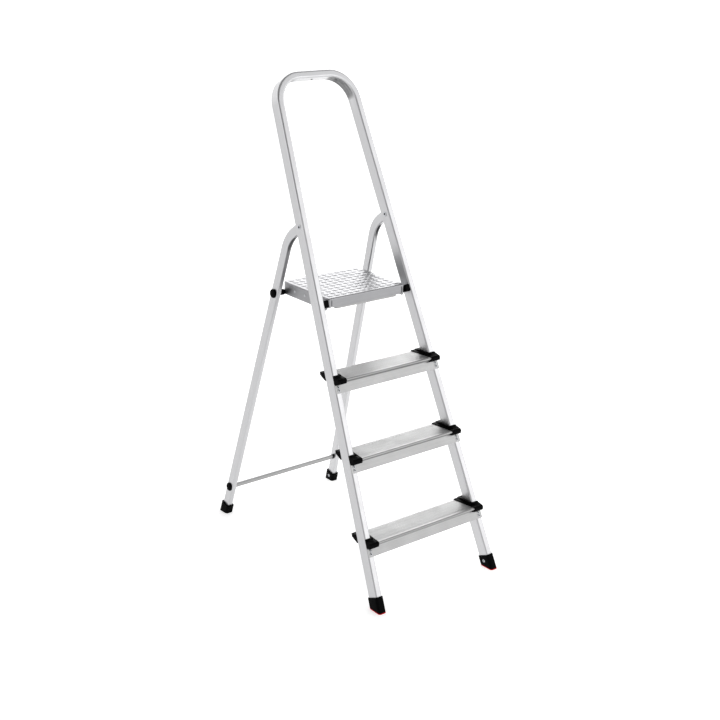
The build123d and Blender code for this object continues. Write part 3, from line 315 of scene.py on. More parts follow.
def finish_piece(name, mesh, body, slot, stands_for, smooth=SMOOTH_UNDER):
    """An object with its slot's material and its body, smooth wherever its faces meet at a small angle."""
    bm = bmesh.new()
    bm.from_mesh(mesh)
    bmesh.ops.recalc_face_normals(bm, faces=bm.faces)
    bm.to_mesh(mesh)
    bm.free()
    mesh.polygons.foreach_set("use_smooth", [True] * len(mesh.polygons))
    mesh.set_sharp_from_angle(angle=smooth)
    mesh.materials.clear()
    mesh.materials.append(LOOKS[slot])
    piece = bpy.data.objects.new(name, mesh)
    bpy.context.scene.collection.objects.link(piece)
    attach(piece, body)
    if stands_for:
        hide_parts(*stands_for)
    return piece


def mirrored(places):
    """The same points on the ladder's other side."""
    return [Vector((-p[0], p[1], p[2])) for p in places]


def stations(corners, radius, fine, coarse):
    """Points along a line with round corners: (place, heading, distance, which bend, how far through it)."""
    found, travelled = [], 0.0
    start = Vector(corners[0])
    for index in range(1, len(corners)):
        corner = Vector(corners[index])
        way = (corner - Vector(corners[index - 1])).normalized()
        trim = 0.0
        if index < len(corners) - 1:
            next_way = (Vector(corners[index + 1]) - corner).normalized()
            turn = asin(way.x * next_way.y - way.y * next_way.x)
            if way.dot(next_way) < 0:
                turn = (pi if turn > 0 else -pi) - turn
            trim = radius * tan(abs(turn) / 2)
        length = (corner - way * trim - start).length
        count = max(1, round(length / coarse))
        for step in range(count):
            gone = length * step / count
            found.append((start + way * gone, way, travelled + gone, -1, 0.0))
        travelled += length
        start = corner - way * trim
        if trim:
            side = Vector((-way.y, way.x)) * (1 if turn > 0 else -1)
            centre = start + side * radius
            count = round(abs(turn) * radius / fine)
            for step in range(count):
                angle = turn * step / count
                spin = Matrix.Rotation(angle, 2)
                found.append((
                    centre - spin @ side * radius, spin @ way, travelled + radius * abs(angle),
                    index - 1, step / count,
                ))
            travelled += radius * abs(turn)
            start = centre - Matrix.Rotation(turn, 2) @ side * radius
    found.append((Vector(corners[-1]), way, travelled, -1, 0.0))
    return found


def rounded_section(width, depth, corner, flat_steps, corner_steps=6):
    """Points round a rounded rectangle, anticlockwise from the middle of its +X side."""
    points = []
    half_x, half_y = width / 2 - corner, depth / 2 - corner
    # Each corner's centre, and the end of the flat that follows it.
    quarters = (
        (half_x, half_y, (-half_x, depth / 2)),
        (-half_x, half_y, (-width / 2, -half_y)),
        (-half_x, -half_y, (half_x, -depth / 2)),
        (half_x, -half_y, (width / 2, half_y)),
    )
    for quarter, (centre_across, centre_along, flat_end) in enumerate(quarters):
        for step in range(corner_steps + 1):
            angle = (quarter + step / corner_steps) * pi / 2
            points.append(Vector((centre_across + corner * cos(angle), centre_along + corner * sin(angle))))
        last = points[-1]
        for step in range(1, flat_steps):
            points.append(last.lerp(Vector(flat_end), step / flat_steps))
    return points


def swept(section, line, origin, x_way, y_way, shape):
    """Sweeps a section along a flat line.

    shape(point, station) gives each section point's place across the line, its place out of the
    line's plane, and how much painted shade it has.
    """
    normal = x_way.cross(y_way)
    places, grain, crease_shade, faces = [], [], [], []
    for station in line:
        place, way, distance = station[:3]
        left = Vector((-way.y, way.x))
        for point in section:
            across, out, shade = shape(point, station)
            flat = place + left * across
            places.append(origin + x_way * flat.x + y_way * flat.y + normal * out)
            grain.append((point.x, point.y, distance))
            crease_shade.append(shade)
    count = len(section)
    for ring in range(len(line) - 1):
        for index in range(count):
            following = (index + 1) % count
            faces.append((
                ring * count + index, ring * count + following,
                (ring + 1) * count + following, (ring + 1) * count + index,
            ))
    faces.append(tuple(range(count)))
    faces.append(tuple(range(len(places) - count, len(places))))
    return places, faces, grain, crease_shade


def cut(piece, cutter_places, cutter_faces):
    """Cuts a closed shape out of a piece."""
    mesh = bpy.data.meshes.new("cutter")
    mesh.from_pydata([Vector(p) * MM for p in cutter_places], [], cutter_faces)
    cutter = bpy.data.objects.new("cutter", mesh)
    bpy.context.scene.collection.objects.link(cutter)
    modifier = piece.modifiers.new("cut", "BOOLEAN")
    modifier.operation, modifier.solver, modifier.object = "DIFFERENCE", "EXACT", cutter
    bpy.context.view_layer.update()
    result = bpy.data.meshes.new_from_object(piece.evaluated_get(bpy.context.evaluated_depsgraph_get()))
    piece.modifiers.clear()
    piece.data = result
    bpy.data.objects.remove(cutter)
    result.set_sharp_from_angle(angle=SMOOTH_UNDER)


def prism(section, start, x_way, y_way, length):
    """A closed prism over a flat outline, as points and faces."""
    normal = x_way.cross(y_way)
    count = len(section)
    places = [start + x_way * p.x + y_way * p.y + normal * far for far in (0, length) for p in section]
    faces = [(i, (i + 1) % count, (i + 1) % count + count, i + count) for i in range(count)]
    return places, faces + [tuple(range(count)), tuple(range(count, 2 * count))]


def refined(name, nodes, body, slot, width, segments=3, grain=FRAME_GRAIN, sharp=radians(28)):
    """The CAD nodes' own shape, with its edges rounded as a real moulding or extrusion has them."""
    bm = bmesh.new()
    for node in nodes:
        bm.from_mesh(frame["nodes"][node].data)
    bmesh.ops.remove_doubles(bm, verts=bm.verts, dist=2e-6)
    bmesh.ops.dissolve_limit(bm, angle_limit=radians(0.5), verts=bm.verts, edges=bm.edges)
    for layer in list(bm.loops.layers.uv.values()):
        bm.loops.layers.uv.remove(layer)
    mesh = bpy.data.meshes.new(name)
    bm.to_mesh(mesh)
    bm.free()
    piece = finish_piece(name, mesh, body, slot, nodes)
    modifier = piece.modifiers.new("rounded", "BEVEL")
    modifier.width, modifier.segments = width * MM, segments
    modifier.limit_method, modifier.angle_limit = "ANGLE", sharp
    modifier.harden_normals = True
    bpy.context.view_layer.update()
    result = bpy.data.meshes.new_from_object(piece.evaluated_get(bpy.context.evaluated_depsgraph_get()))
    piece.modifiers.clear()
    piece.data = result
    layer = result.attributes.new("grain", "FLOAT_VECTOR", "POINT")
    layer.data.foreach_set("vector", [v.co.dot(way) for v in result.vertices for way in grain])
    return piece


def turned(profile, places, segments=ROUND_STEPS):
    """Revolves a profile of (distance from the axis, height) at each (origin, axis), as points and faces."""
    points, faces = [], []
    for origin, axis in places:
        side = axis.orthogonal().normalized()
        other = axis.cross(side)
        base = len(points)
        for radius, height in profile:
            for step in range(segments):
                angle = 2 * pi * step / segments
                points.append(origin + axis * height + (side * cos(angle) + other * sin(angle)) * radius)
        for ring in range(len(profile) - 1):
            for step in range(segments):
                following = (step + 1) % segments
                low, high = base + ring * segments, base + (ring + 1) * segments
                faces.append((low + step, low + following, high + following, high + step))
        faces.append(tuple(base + step for step in range(segments)))
        faces.append(tuple(base + (len(profile) - 1) * segments + step for step in range(segments)))
    return points, faces


def arc_profile(centre, radius, start, end, steps):
    """The points of an arc in a turned profile."""
    return [
        (centre[0] + radius * cos(start + (end - start) * k / steps),
         centre[1] + radius * sin(start + (end - start) * k / steps))
        for k in range(steps + 1)
    ]


# ---------------------------------------- front frame tube: uprights and hoop, dented inside its bends
hoop_line = (
    (hoop_high + TUBE_CORNER * (cos(FRONT_LEAN) + sin(FRONT_LEAN) - 1)) / cos(FRONT_LEAN) - TUBE_WIDTH / 2
)
HOOP_DENT = 7.0
HOOP_WAVES, HOOP_WAVE_SHARE = 7, 0.12      # small ripples along the dent
HOOP_DENT_SHADE = 0.75                           # how much painted shade the dent has at its middle
HOOP_BEND_STEP, HOOP_STRAIGHT_STEP = 3.0, 60.0
FLAT_STEPS = 12                            # across each flat side of a tube's section
SIDE_MARGIN = 0.5                          # a section point this near a side counts as on it


def hoop_shape(point, station):
    """The wall inside each of the hoop's bends is pressed in, with small ripples along the bend, and darkened
    with painted shade that is strongest towards its rear edge.
    """
    bend, through = station[3:]
    if bend < 0 or point.x > SIDE_MARGIN - TUBE_WIDTH / 2:
        return point.x, point.y, 0.0
    hollow = cos(pi * point.y / (TUBE_DEPTH - TUBE_CORNER)) ** 2 if abs(point.y) < TUBE_DEPTH / 2 - 2 else 0
    waves = 1 + HOOP_WAVE_SHARE * cos(2 * HOOP_WAVES * pi * through)
    rearward = 0.5 - point.y / TUBE_DEPTH
    return (
        point.x + HOOP_DENT * sin(pi * through) ** 0.7 * hollow * waves, point.y,
        HOOP_DENT_SHADE * min(1, 3 * sin(pi * through)) * min(1, 0.35 + rearward),
    )


hoop_stations = stations(
    (
        (-centre_x(TUBE_END), TUBE_END), (-centre_x(hoop_line), hoop_line),
        (centre_x(hoop_line), hoop_line), (centre_x(TUBE_END), TUBE_END),
    ),
    HOOP_RADIUS, HOOP_BEND_STEP, HOOP_STRAIGHT_STEP,
)
tube_section = rounded_section(TUBE_WIDTH, TUBE_DEPTH, TUBE_CORNER, FLAT_STEPS)
places, faces, grain, crease_shade = swept(
    tube_section, hoop_stations, frame_point(0, 0), X_WAY, up_frame, hoop_shape
)
uprights = new_piece(
    "uprights_and_hoop", places, faces, "front_frame", "frame_aluminium", ["front_frame_tube"], grain,
    crease_shade=crease_shade,
)

TUBE_WALL = 1.2
SLOT_WIDTH, SLOT_CORNER, SLOT_ABOVE, SLOT_BELOW = 17.2, 3.0, 12.5, 42.5
HOLLOW_ABOVE, HOLLOW_BELOW = 30.0, 90.0    # how much of the tube's inside is hollowed out round the slot
CUT_MARGIN = 2.0                           # how far a cutter stands out of the tube
for above, below, start_depth, end_depth in (
    (HOLLOW_ABOVE, HOLLOW_BELOW, TUBE_DEPTH - TUBE_WALL, TUBE_WALL),
    (SLOT_ABOVE, SLOT_BELOW, TUBE_DEPTH + CUT_MARGIN, TUBE_DEPTH / 2),
):
    section = rounded_section(SLOT_WIDTH, above + below, SLOT_CORNER, 2)
    up = PIVOT_UP + (above - below) / 2
    for side in (-1, 1):
        across = Vector((side * cos(splay), 0, 0)) + up_frame * sin(splay)
        along = Vector((-side * sin(splay), 0, 0)) + up_frame * cos(splay)
        start = frame_point(side * centre_x(up), up, start_depth)
        places, faces = prism(section, start, across, along, side * (start_depth - end_depth))
        cut(uprights, places, faces)

DRAIN_RADIUS, DRAIN_CUT = 2.7, (-4.0, 14.0)          # the hole in the hoop's underside
DRAIN_SHADE_RADIUS, DRAIN_SHADE_ENDS = 2.6, (-0.9, 3.0)
DRAIN_STEPS = 20
drain_axis = [(frame_point(0, hoop_line - TUBE_WIDTH / 2), up_frame)]
drain, faces = turned([(DRAIN_RADIUS, end) for end in DRAIN_CUT], drain_axis, DRAIN_STEPS)
cut(uprights, drain, faces)
# A black plug in the drain hole is painted shade for the hole's dark inside.
places, faces = turned([(DRAIN_SHADE_RADIUS, end) for end in DRAIN_SHADE_ENDS], drain_axis, DRAIN_STEPS)
new_piece("hoop_drain_shade", places, faces, "front_frame", "black_plastic", None)

# ---------------------------------------- rear legs, creased inside their bends
LEG_CREASE = 6.5
CREASE_PLACE = 0.54                        # of the way through the bend
CREASE_REACH_UP, CREASE_REACH_DOWN = 13.0, 36.0
CREASE_FOLD, CREASE_SHARE = 2.6, 0.45      # half the sharp fold's width, and its share of the crease
# Painted shade along the crease: its strength, its half width across the wall, and its shift across the wall.
LEG_CREASE_SHADE, LEG_CREASE_SHADE_HALF, LEG_CREASE_SHADE_SHIFT = 2.5, 4.0, 0.8
LEG_END_FLAT = 0.5                         # how far short of a half circle the round top end stops
LEG_BEND_STEP, LEG_STRAIGHT_STEP = 1.5, 45.0
CREASE_STEP, CREASE_STEPS_WITHIN = 1.2, 110
bend_corner = pivot_along - pivot_forward / tan(LEG_BEND)
bend_start = bend_corner - LEG_END - LEG_BEND_RADIUS * tan(LEG_BEND / 2)
bend_length = LEG_BEND * LEG_BEND_RADIUS
crease_middle = bend_start + CREASE_PLACE * bend_length


def leg_shape(point, station):
    """The wall inside the bend folds inward along a crease that fades down the leg, darkened along the crease
    with painted shade. The top is round.
    """
    distance = station[2]
    if distance > pivot_distance:
        past = (distance - pivot_distance) / (LEG_DEPTH / 2)
        return point.x * sqrt(1 - past ** 2), point.y, 0.0
    if point.x < LEG_DEPTH / 2 - SIDE_MARGIN:
        return point.x, point.y, 0.0
    reach = CREASE_REACH_UP if distance > crease_middle else CREASE_REACH_DOWN
    fade = exp(-(((distance - crease_middle) / reach) ** 2))
    broad = cos(pi * point.y / LEG_WIDTH) ** 2
    sharp = exp(-((point.y / CREASE_FOLD) ** 2))
    shade_band = exp(-(((point.y + LEG_CREASE_SHADE_SHIFT) / LEG_CREASE_SHADE_HALF) ** 2))
    inward = LEG_CREASE * fade * ((1 - CREASE_SHARE) * broad + CREASE_SHARE * sharp)
    return point.x - inward, point.y, min(1, LEG_CREASE_SHADE * fade * shade_band)


end_way = Vector((-sin(LEG_BEND), cos(LEG_BEND)))
leg_top = Vector((-pivot_forward, pivot_along)) + end_way * (LEG_DEPTH / 2 - LEG_END_FLAT)
leg_stations = stations(
    ((0, LEG_END), (0, bend_corner), leg_top), LEG_BEND_RADIUS, LEG_BEND_STEP, LEG_STRAIGHT_STEP
)
pivot_distance = leg_stations[-1][2] - (LEG_DEPTH / 2 - LEG_END_FLAT)
fine_stations = []
for station, following in zip(leg_stations, leg_stations[1:]):
    fine_stations.append(station)
    near = abs(station[2] - crease_middle) < CREASE_STEPS_WITHIN
    if station[3] < 0 and near:
        parts = round((following[2] - station[2]) / CREASE_STEP)
        for part in range(1, parts):
            share = part / parts
            fine_stations.append((
                station[0].lerp(following[0], share), station[1],
                station[2] + (following[2] - station[2]) * share, -1, 0.0,
            ))
fine_stations.append(leg_stations[-1])
leg_section = rounded_section(LEG_DEPTH, LEG_WIDTH, LEG_CORNER, FLAT_STEPS)
places, faces, grain, crease_shade = swept(leg_section, fine_stations, leg_floor, leg_rearward, leg_up, leg_shape)
for side, mirror_it in (("right", False), ("left", True)):
    new_piece(
        f"leg_tube_{side}", mirrored(places) if mirror_it else places, faces, "rear_frame", "frame_aluminium",
        [f"rear_leg_{side}"], grain, crease_shade=crease_shade,
    )

# ---------------------------------------- platform: a pressed sheet with raised ovals and folded flanges
deck_low, deck_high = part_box("platform_deck")
deck_half = deck_high.x / MM
deck_front, deck_rear = deck_low.y / MM, deck_high.y / MM
STUD_RISE = 1.4
CAD_STUD_RISE = 0.9
deck_top = deck_high.z / MM - CAD_STUD_RISE
EDGE_RADIUS = 4.0
CORNERS = {-1: 8.0, 1: 22.0}      # of the outline, at the front and the rear
STUD_COUNT, STUD_PITCH, STUD_HALF = (11, 10), (22.5, 19.0), (10.4, 8.2)
STUD_SQUARENESS = 2.6             # 2 would make each a plain oval
GRID = 1.3
SLIT = (119.8, 123.4)             # in the front flange, near each corner
SLIT_BELOW_FOLD = 1.5
SLIT_NUDGE = 0.15                 # grid lines this far each side of the slit's edges keep it crisp
FLANGE_END_RADIUS = 6.0
FOLD_STEPS, FLANGE_STEPS = 6, 4
DECK_SMOOTH_UNDER = radians(50)


def stud_rise(x, y):
    """Height of the raised ovals over the sheet."""
    middles = (0.0, (deck_front + deck_rear) / 2)
    away = 0.0
    for place, middle, count, pitch, half in zip((x, y), middles, STUD_COUNT, STUD_PITCH, STUD_HALF):
        first = middle - (count - 1) * pitch / 2
        index = min(max(round((place - first) / pitch), 0), count - 1)
        away += abs((place - first - index * pitch) / half) ** STUD_SQUARENESS
    return STUD_RISE * (1 - away ** 2) ** 2 if away < 1 else 0.0


def fitted(x, y):
    """Moves a point of the square grid so that the grid's rim follows the outline's round corners."""
    end = 1 if y > (deck_front + deck_rear) / 2 else -1
    radius = CORNERS[end] - EDGE_RADIUS
    limit_x = deck_half - EDGE_RADIUS
    limit_y = (deck_rear if end > 0 else deck_front) - end * EDGE_RADIUS
    u = (abs(x) - (limit_x - radius)) / radius
    v = ((y - limit_y) * end + radius) / radius
    if u <= 0 or v <= 0:
        normal = Vector((0, end)) if abs(y - limit_y) < 0.01 else Vector((1 if x > 0 else -1, 0))
        return x, y, normal
    reach, length = max(u, v), hypot(u, v)
    normal = Vector((u / length * (1 if x > 0 else -1), v / length * end))
    centre = Vector((((limit_x - radius) * (1 if x > 0 else -1)), limit_y - end * radius))
    place = centre + normal * (reach * radius)
    return place.x, place.y, normal


def flange_depth(x, y):
    """How far below the deck's top the flange reaches at a place on the outline."""
    if y > deck_front + CORNERS[-1]:
        return DECK_FLANGE
    if abs(x) > SLIT[1]:
        share = min(max((y - deck_front) / CORNERS[-1], 0), 1)
        return DECK_FRONT_FLANGE + (DECK_FLANGE - DECK_FRONT_FLANGE) * share ** 3
    if abs(x) > SLIT[0]:
        return EDGE_RADIUS + SLIT_BELOW_FOLD
    edge = min(SLIT[0] - abs(x), FLANGE_END_RADIUS)
    drop = FLANGE_END_RADIUS - sqrt(FLANGE_END_RADIUS ** 2 - (FLANGE_END_RADIUS - edge) ** 2)
    return DECK_FRONT_FLANGE - drop


grid_width = 2 * (deck_half - EDGE_RADIUS)
grid_length = deck_rear - deck_front - 2 * EDGE_RADIUS
columns = round(grid_width / GRID)
rows = round(grid_length / GRID)
xs = [-(deck_half - EDGE_RADIUS) + grid_width * i / columns for i in range(columns + 1)]
for edge in SLIT:
    for side in (-1, 1):
        for nudge in (-SLIT_NUDGE, SLIT_NUDGE):
            xs.append(side * (edge + nudge))
xs = sorted(xs)
columns = len(xs) - 1
ys = [deck_front + EDGE_RADIUS + grid_length * j / rows for j in range(rows + 1)]

outer, inner, normals = [], [], []
for y in ys:
    for x in xs:
        px, py, normal = fitted(x, y)
        rise = stud_rise(px, py)
        outer.append(Vector((px, py, deck_top + rise)))
        inner.append(Vector((px, py, deck_top + rise - DECK_SHEET)))
        normals.append(normal)
across_count = columns + 1
rim = (
    list(range(columns))
    + [j * across_count + columns for j in range(rows)]
    + [rows * across_count + i for i in range(columns, 0, -1)]
    + [j * across_count for j in range(rows, 0, -1)]
)
skin_faces = []
for j in range(rows):
    for i in range(columns):
        near, far = j * across_count + i, (j + 1) * across_count + i
        skin_faces.append((near, near + 1, far + 1, far))
top_count = len(outer)
for step in range(1, FOLD_STEPS + FLANGE_STEPS + 1):
    for index in rim:
        base, normal = outer[index], normals[index].to_3d()
        if step <= FOLD_STEPS:
            angle = step / FOLD_STEPS * pi / 2
            outward = Vector((0, 0, cos(angle))) + normal * sin(angle)
            centre = Vector((base.x, base.y, deck_top - EDGE_RADIUS))
            outer.append(centre + outward * EDGE_RADIUS)
            inner.append(centre + outward * (EDGE_RADIUS - DECK_SHEET))
        else:
            edge = Vector((base.x, base.y, 0)) + normal * EDGE_RADIUS
            depth = flange_depth(edge.x, edge.y)
            share = (step - FOLD_STEPS) / FLANGE_STEPS
            height = deck_top - EDGE_RADIUS - (depth - EDGE_RADIUS) * share
            outer.append(Vector((edge.x, edge.y, height)))
            inner.append(Vector((edge.x, edge.y, height)) - normal * DECK_SHEET)
rings = [rim]
for step in range(FOLD_STEPS + FLANGE_STEPS):
    rings.append([top_count + step * len(rim) + i for i in range(len(rim))])
for upper, lower in zip(rings, rings[1:]):
    for i in range(len(rim)):
        following = (i + 1) % len(rim)
        skin_faces.append((upper[i], lower[i], lower[following], upper[following]))
shift = len(outer)
deck_faces = skin_faces + [tuple(shift + index for index in reversed(face)) for face in skin_faces]
last = rings[-1]
for i in range(len(rim)):
    following = (i + 1) % len(rim)
    deck_faces.append((last[i], shift + last[i], shift + last[following], last[following]))
deck_places = outer + inner
new_piece(
    "deck_pressing", deck_places, deck_faces, "platform", "deck_aluminium", ["platform_deck"],
    [(p.y, p.z, p.x) for p in deck_places], DECK_SMOOTH_UNDER,
)

# Small tabs behind the front flange close the slits.
TAB_DEPTH, TAB_OVERLAP = 1.2, 4.0
TAB_BEHIND, TAB_BELOW, TAB_ABOVE = 0.3, 1.0, 1.6     # gaps to the flange, the sheet and the flange's edge
tab_top, tab_bottom = -DECK_SHEET - TAB_BELOW, TAB_ABOVE - DECK_FRONT_FLANGE
tab_places, tab_faces = [], []
for side in (-1, 1):
    left, right = sorted((side * (SLIT[0] - TAB_OVERLAP), side * (SLIT[1] + TAB_OVERLAP)))
    corners = ((left, tab_bottom), (right, tab_bottom), (right, tab_top), (left, tab_top))
    outline = [Vector(corner) for corner in corners]
    start = Vector((0, deck_front + DECK_SHEET + TAB_BEHIND + TAB_DEPTH, deck_top))
    places, faces = prism(outline, start, X_WAY, Vector((0, 0, 1)), TAB_DEPTH)
    tab_faces += [tuple(len(tab_places) + index for index in face) for face in faces]
    tab_places += places
new_piece(
    "deck_corner_tabs", tab_places, tab_faces, "platform", "deck_aluminium", None,
    [(p.y, p.z, p.x) for p in tab_places],
)

# ---------------------------------------- extrusions and mouldings that keep the CAD shape
LEVELS = ("lower", "middle", "upper")
for level in LEVELS:
    refined(
        f"tread_{level}", [f"step_tread_{level}"], "front_frame", "tread_aluminium", 0.35, 2, TREAD_GRAIN
    )
    for side in ("right", "left"):
        refined(
            f"tread_cap_{level}_{side}", [f"step_cap_{level}_{side}"], "front_frame", "black_plastic", 1.0
        )
for side in ("right", "left"):
    refined(f"front_boot_{side}", [f"front_foot_{side}"], "front_frame", "black_plastic", 0.8)
    refined(f"front_sole_{side}", [f"front_foot_sole_{side}"], "front_frame", "red_rubber", 0.5)
    refined(f"rear_boot_{side}", [f"rear_foot_{side}"], "rear_frame", "black_plastic", 2.1, 5)
    refined(f"hook_seat_{side}", [f"platform_support_{side}"], "front_frame", "black_plastic", 0.9)
refined("crossbar", ["rear_crossbar"], "rear_frame", "tread_aluminium", 0.2, 2, CROSSBAR_GRAIN)
refined("crossbar_plugs", ["crossbar_end_plugs"], "rear_frame", "black_plastic", 0.5, 2)
refined("deck_stiffener", ["platform_front_stiffener"], "platform", "tread_aluminium", 0.4, 2, TREAD_GRAIN)
refined("hinge_plates", ["platform_hinge_plates"], "platform", "zinc_steel", 0.4, 2)
refined("deck_bushes", ["platform_pivot_bushes"], "platform", "black_plastic", 0.5, 2)
refined("hook_pins", ["platform_front_pins"], "platform", "zinc_steel", 0.5, 2)
refined("deck_bolts", ["platform_pivot_bolts"], "rear_frame", "zinc_steel", 0.5, 2)
refined("deck_nuts", ["platform_pivot_nuts"], "rear_frame", "zinc_steel", 0.5, 2)
refined("crossbar_screws", ["crossbar_bolts"], "rear_frame", "zinc_steel", 0.4, 2)
refined("leg_bushes", ["top_pivot_bushes"], "rear_frame", "black_plastic", 0.4, 2)

# ---------------------------------------- rivets and bolt caps, turned
# A turned profile's points are distances from the axis and heights along it.
RIVET_HOLE = 1.9
RIVET_STEM_SHADE_ENDS = (-1.0, 0.3)
BLIND_RIVET = (
    [(RIVET_HOLE, -5.0), (4.2, 0.0)] + arc_profile((2.2, -0.9), 2.5, radians(28), radians(80), 7)
    + [(RIVET_HOLE + 0.1, 1.4), (RIVET_HOLE, 0.9), (RIVET_HOLE, -2.2), (0.01, -2.2)]
)
HOLLOW_RIVET_BORE, HOLLOW_RIVET_SHANK, HOLLOW_RIVET_HEAD = 3.0, 4.5, 7.0
BORE_SHADE_GAP, BORE_SHADE_PAST = 0.05, 0.4            # the black plug of painted shade in each bore: its gap to the bore, and its reach past the tube
DOME_CAP = (
    [(11.4, 0.0), (12.5, 0.6), (12.5, 2.0)] + arc_profile((9.3, 2.4), 3.1, radians(10), radians(75), 7)
    + [(7.2, 5.9), (4.0, 6.35), (0.02, 6.5)]
)
FLAT_CAP_SHARE = 0.72
FLAT_CAP = [(radius, height * FLAT_CAP_SHARE) for radius, height in DOME_CAP]
CAP_STEPS = 48


def both_sides(origin, axis):
    """A place and a direction, and the same two on the ladder's other side."""
    return [(origin, axis), (Vector((-origin.x, origin.y, origin.z)), Vector((-axis.x, axis.y, axis.z)))]


for level in LEVELS:
    tread_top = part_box(f"step_tread_{level}")[1].z / MM
    fascia_up = (tread_top - FASCIA_DROP) / cos(FRONT_LEAN)
    heads = []
    for rise in RIVET_RISES:
        up = fascia_up + rise
        heads += both_sides(frame_point(centre_x(up), up, -TREAD_WALL), out_of_frame)
    places, faces = turned(BLIND_RIVET, heads)
    new_piece(f"tread_rivets_{level}", places, faces, "front_frame", "zinc_steel", [f"step_rivets_{level}"])
    # Each rivet's stem is black: painted shade for the shaded steel stem in the rivet's hole.
    places, faces = turned([(RIVET_HOLE, end) for end in RIVET_STEM_SHADE_ENDS], heads)
    new_piece(f"tread_rivet_stem_shade_{level}", places, faces, "front_frame", "black_plastic", None)

FRONT_FOOT_RIVET_UP, REAR_FOOT_RIVET_UP = 29.0, 17.0
outward = X_WAY * cos(splay) + up_frame * sin(splay)
boot_inside = TUBE_WIDTH / 2 + FRONT_BOOT_WALL
front_rivet = frame_point(centre_x(FRONT_FOOT_RIVET_UP), FRONT_FOOT_RIVET_UP) - outward * boot_inside
places, faces = turned(BLIND_RIVET, both_sides(front_rivet, -outward))
new_piece("front_boot_rivets", places, faces, "front_frame", "zinc_steel", ["front_foot_rivets"])
rear_rivet = leg_floor + leg_up * REAR_FOOT_RIVET_UP - leg_outward * (LEG_WIDTH / 2 + REAR_BOOT_WALL)
places, faces = turned(BLIND_RIVET, both_sides(rear_rivet, -leg_outward))
new_piece("rear_boot_rivets", places, faces, "rear_frame", "zinc_steel", ["rear_foot_rivets"])

half_width = TUBE_WIDTH / 2 / cos(splay)
wall = [(HOLLOW_RIVET_SHANK, half_width - 0.6), (HOLLOW_RIVET_HEAD, half_width - 0.2)]
outside = wall + arc_profile((HOLLOW_RIVET_HEAD - 0.7, half_width + 0.35), 0.7, radians(-40), radians(80), 5)
profile = outside + [(HOLLOW_RIVET_BORE + 1.3, half_width + 1.25)] + arc_profile(
    (HOLLOW_RIVET_BORE + 0.9, half_width + 0.3), 0.95, pi / 2, pi, 6
)
profile = [(r, -h) for r, h in reversed(profile)] + profile
pivots = [(Vector((side * centre_x(PIVOT_UP), pivot_y, pivot_z)), X_WAY) for side in (-1, 1)]
last_ring = (len(profile) - 1) * ROUND_STEPS
bore_faces = []
for step in range(ROUND_STEPS):
    following = (step + 1) % ROUND_STEPS
    bore_faces.append((last_ring + step, last_ring + following, following, step))
points, faces = [], []
for pivot in pivots:
    ring_points, ring_faces = turned(profile, [pivot])
    ring_faces = ring_faces[:-2] + bore_faces      # a wall through the bore in place of the two end discs
    faces += [tuple(len(points) + index for index in face) for face in ring_faces]
    points += ring_points
new_piece("pivot_rivets", points, faces, "front_frame", "zinc_steel", ["top_pivot_rivets"])
# A black plug in each pivot rivet's bore is painted shade, standing for the shaded steel mandrel in the dark
# hole.
bore_shade_end = half_width + BORE_SHADE_PAST
bore_shade = [(HOLLOW_RIVET_BORE - BORE_SHADE_GAP, end) for end in (-bore_shade_end, bore_shade_end)]
places, faces = turned(bore_shade, pivots)
new_piece("pivot_bore_shade", places, faces, "front_frame", "black_plastic", None)

bar_low, bar_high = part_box("rear_crossbar")
for name, node, height, profile in (
    ("deck_bolt_caps", "platform_pivot_caps", deck_pivot_z, DOME_CAP),
    ("crossbar_caps", "crossbar_bolt_caps", (bar_low.z + bar_high.z) / 2 / MM, FLAT_CAP),
):
    places, faces = turned(profile, both_sides(leg_point(height, LEG_WIDTH / 2), leg_outward), CAP_STEPS)
    new_piece(name, places, faces, "rear_frame", "black_plastic", [node])
refined("deck_side_rivets", ["platform_rivets"], "platform", "zinc_steel", 0.3, 2)

# ---------------------------------------- camera, floor and light
CAMERA_PLACE = Vector((-2.152, -2.5648, 1.7376))
CAMERA_TURN = 0.6984      # to the right of straight back, in radians
CAMERA_TILT = 0.342       # downward
CAMERA_ROLL = 0.038
CAMERA_LENS = 64.69       # mm
CAMERA_SENSOR = 36        # mm


def add_camera():
    """The camera, standing in front of the ladder and to its left."""
    forward = Vector((
        sin(CAMERA_TURN) * cos(CAMERA_TILT), cos(CAMERA_TURN) * cos(CAMERA_TILT), -sin(CAMERA_TILT)
    ))
    level = Vector((cos(CAMERA_TURN), -sin(CAMERA_TURN), 0))
    upward = level.cross(forward)
    side = level * cos(CAMERA_ROLL) + upward * sin(CAMERA_ROLL)
    top = upward * cos(CAMERA_ROLL) - level * sin(CAMERA_ROLL)
    data = bpy.data.cameras.new("camera")
    data.lens = CAMERA_LENS
    data.sensor_width = CAMERA_SENSOR
    camera = bpy.data.objects.new("camera", data)
    bpy.context.scene.collection.objects.link(camera)
    turn = Matrix((side, top, -forward)).transposed().to_4x4()
    camera.matrix_world = Matrix.Translation(CAMERA_PLACE) @ turn
    bpy.context.scene.camera = camera


def add_panel(name, place, target, size, power):
    """A large soft light."""
    data = bpy.data.lights.new(name, "AREA")
    data.shape = "RECTANGLE"
    data.size, data.size_y = size
    data.energy = power
    light = bpy.data.objects.new(name, data)
    bpy.context.scene.collection.objects.link(light)
    light.location = place
    light.rotation_euler = (Vector(target) - Vector(place)).to_track_quat("-Z", "Y").to_euler()


add_camera()

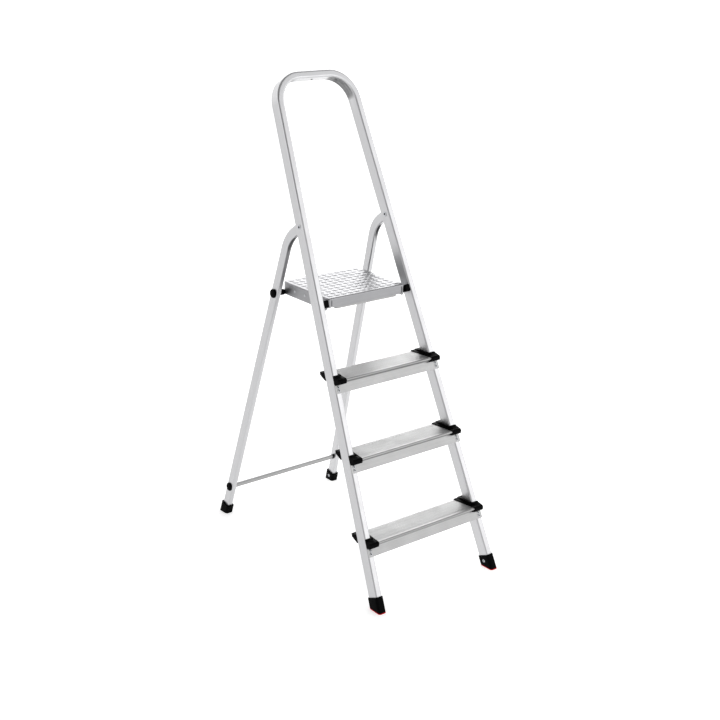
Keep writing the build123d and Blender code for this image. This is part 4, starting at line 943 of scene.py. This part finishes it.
FLOOR_SIZE = 120
FLOOR_GLOW = (0.54, 0.72)            # dimmer on the ladder's left, brighter on its right
FLOOR_GLOW_PLACES = (-0.25, 0.35)    # X, in metres
bpy.ops.mesh.primitive_plane_add(size=FLOOR_SIZE)
floor = bpy.context.object
floor.name = "floor"
floor_look = Nodes("floor_paper")
floor_across = floor_look.add(
    "ShaderNodeSeparateXYZ", Vector=floor_look.add("ShaderNodeTexCoord").outputs["Object"]
).outputs["X"]
floor_glow = floor_look.remap(floor_across, *FLOOR_GLOW, *FLOOR_GLOW_PLACES)
floor_look.set(
    Base_Color=(0.8, 0.8, 0.8, 1), Roughness=0.9, Emission_Color=(1, 1, 1, 1), Emission_Strength=floor_glow
)
floor.data.materials.append(floor_look.material)

# A white studio, dimmer overhead and at the end where the photographer stands, which draws the tubes' edges.
DARK_END = Vector((-0.60, -0.72, 0.35))
DARK_END_NEAR, DARK_END_LIGHT = (0.6, 0.93), (1.0, 0.4)      # nearness to DARK_END, and the light there
SKY_HEIGHT, SKY_LIGHT = (0.42, 0.60), (1.35, 0.42)           # height in the sky, and the light there
world = bpy.data.worlds.new("studio")
bpy.context.scene.world = world
world.use_nodes = True
sky = world.node_tree


def sky_ramp(value, low, high, start, end):
    """A share that runs from start to end while the value runs from low to high."""
    ramp = sky.nodes.new("ShaderNodeMapRange")
    ramp.interpolation_type = "SMOOTHSTEP"
    sky.links.new(value, ramp.inputs["Value"])
    set_range(ramp, low, high, start, end)
    return ramp.outputs["Result"]


direction = sky.nodes.new("ShaderNodeTexCoord").outputs["Generated"]
parts = sky.nodes.new("ShaderNodeSeparateXYZ")
sky.links.new(direction, parts.inputs[0])
facing = sky.nodes.new("ShaderNodeVectorMath")
facing.operation = "DOT_PRODUCT"
sky.links.new(direction, facing.inputs[0])
facing.inputs[1].default_value = DARK_END
both = sky.nodes.new("ShaderNodeMath")
both.operation = "MULTIPLY"
sky.links.new(sky_ramp(parts.outputs["Z"], *SKY_HEIGHT, *SKY_LIGHT), both.inputs[0])
sky.links.new(sky_ramp(facing.outputs["Value"], *DARK_END_NEAR, *DARK_END_LIGHT), both.inputs[1])
sky.links.new(both.outputs[0], sky.nodes["Background"].inputs["Strength"])
sky.nodes["Background"].inputs["Color"].default_value = (1, 1, 1, 1)


def panel_power(brightness, size):
    """The power that gives a panel this brightness, where the white backdrop is 1."""
    return brightness * pi * size[0] * size[1]


PANEL_SIZE = (3.0, 3.0)
PANEL_TARGET = (0, 0, 0.7)
for name, place, brightness in (
    ("front_panel", (2.5, -3.0, 2.2), 0.6),
    ("back_panel", (2.5, 3.0, 2.4), 2.0),
):
    add_panel(name, place, PANEL_TARGET, PANEL_SIZE, panel_power(brightness, PANEL_SIZE))
bpy.context.scene.view_settings.view_transform = "Standard"
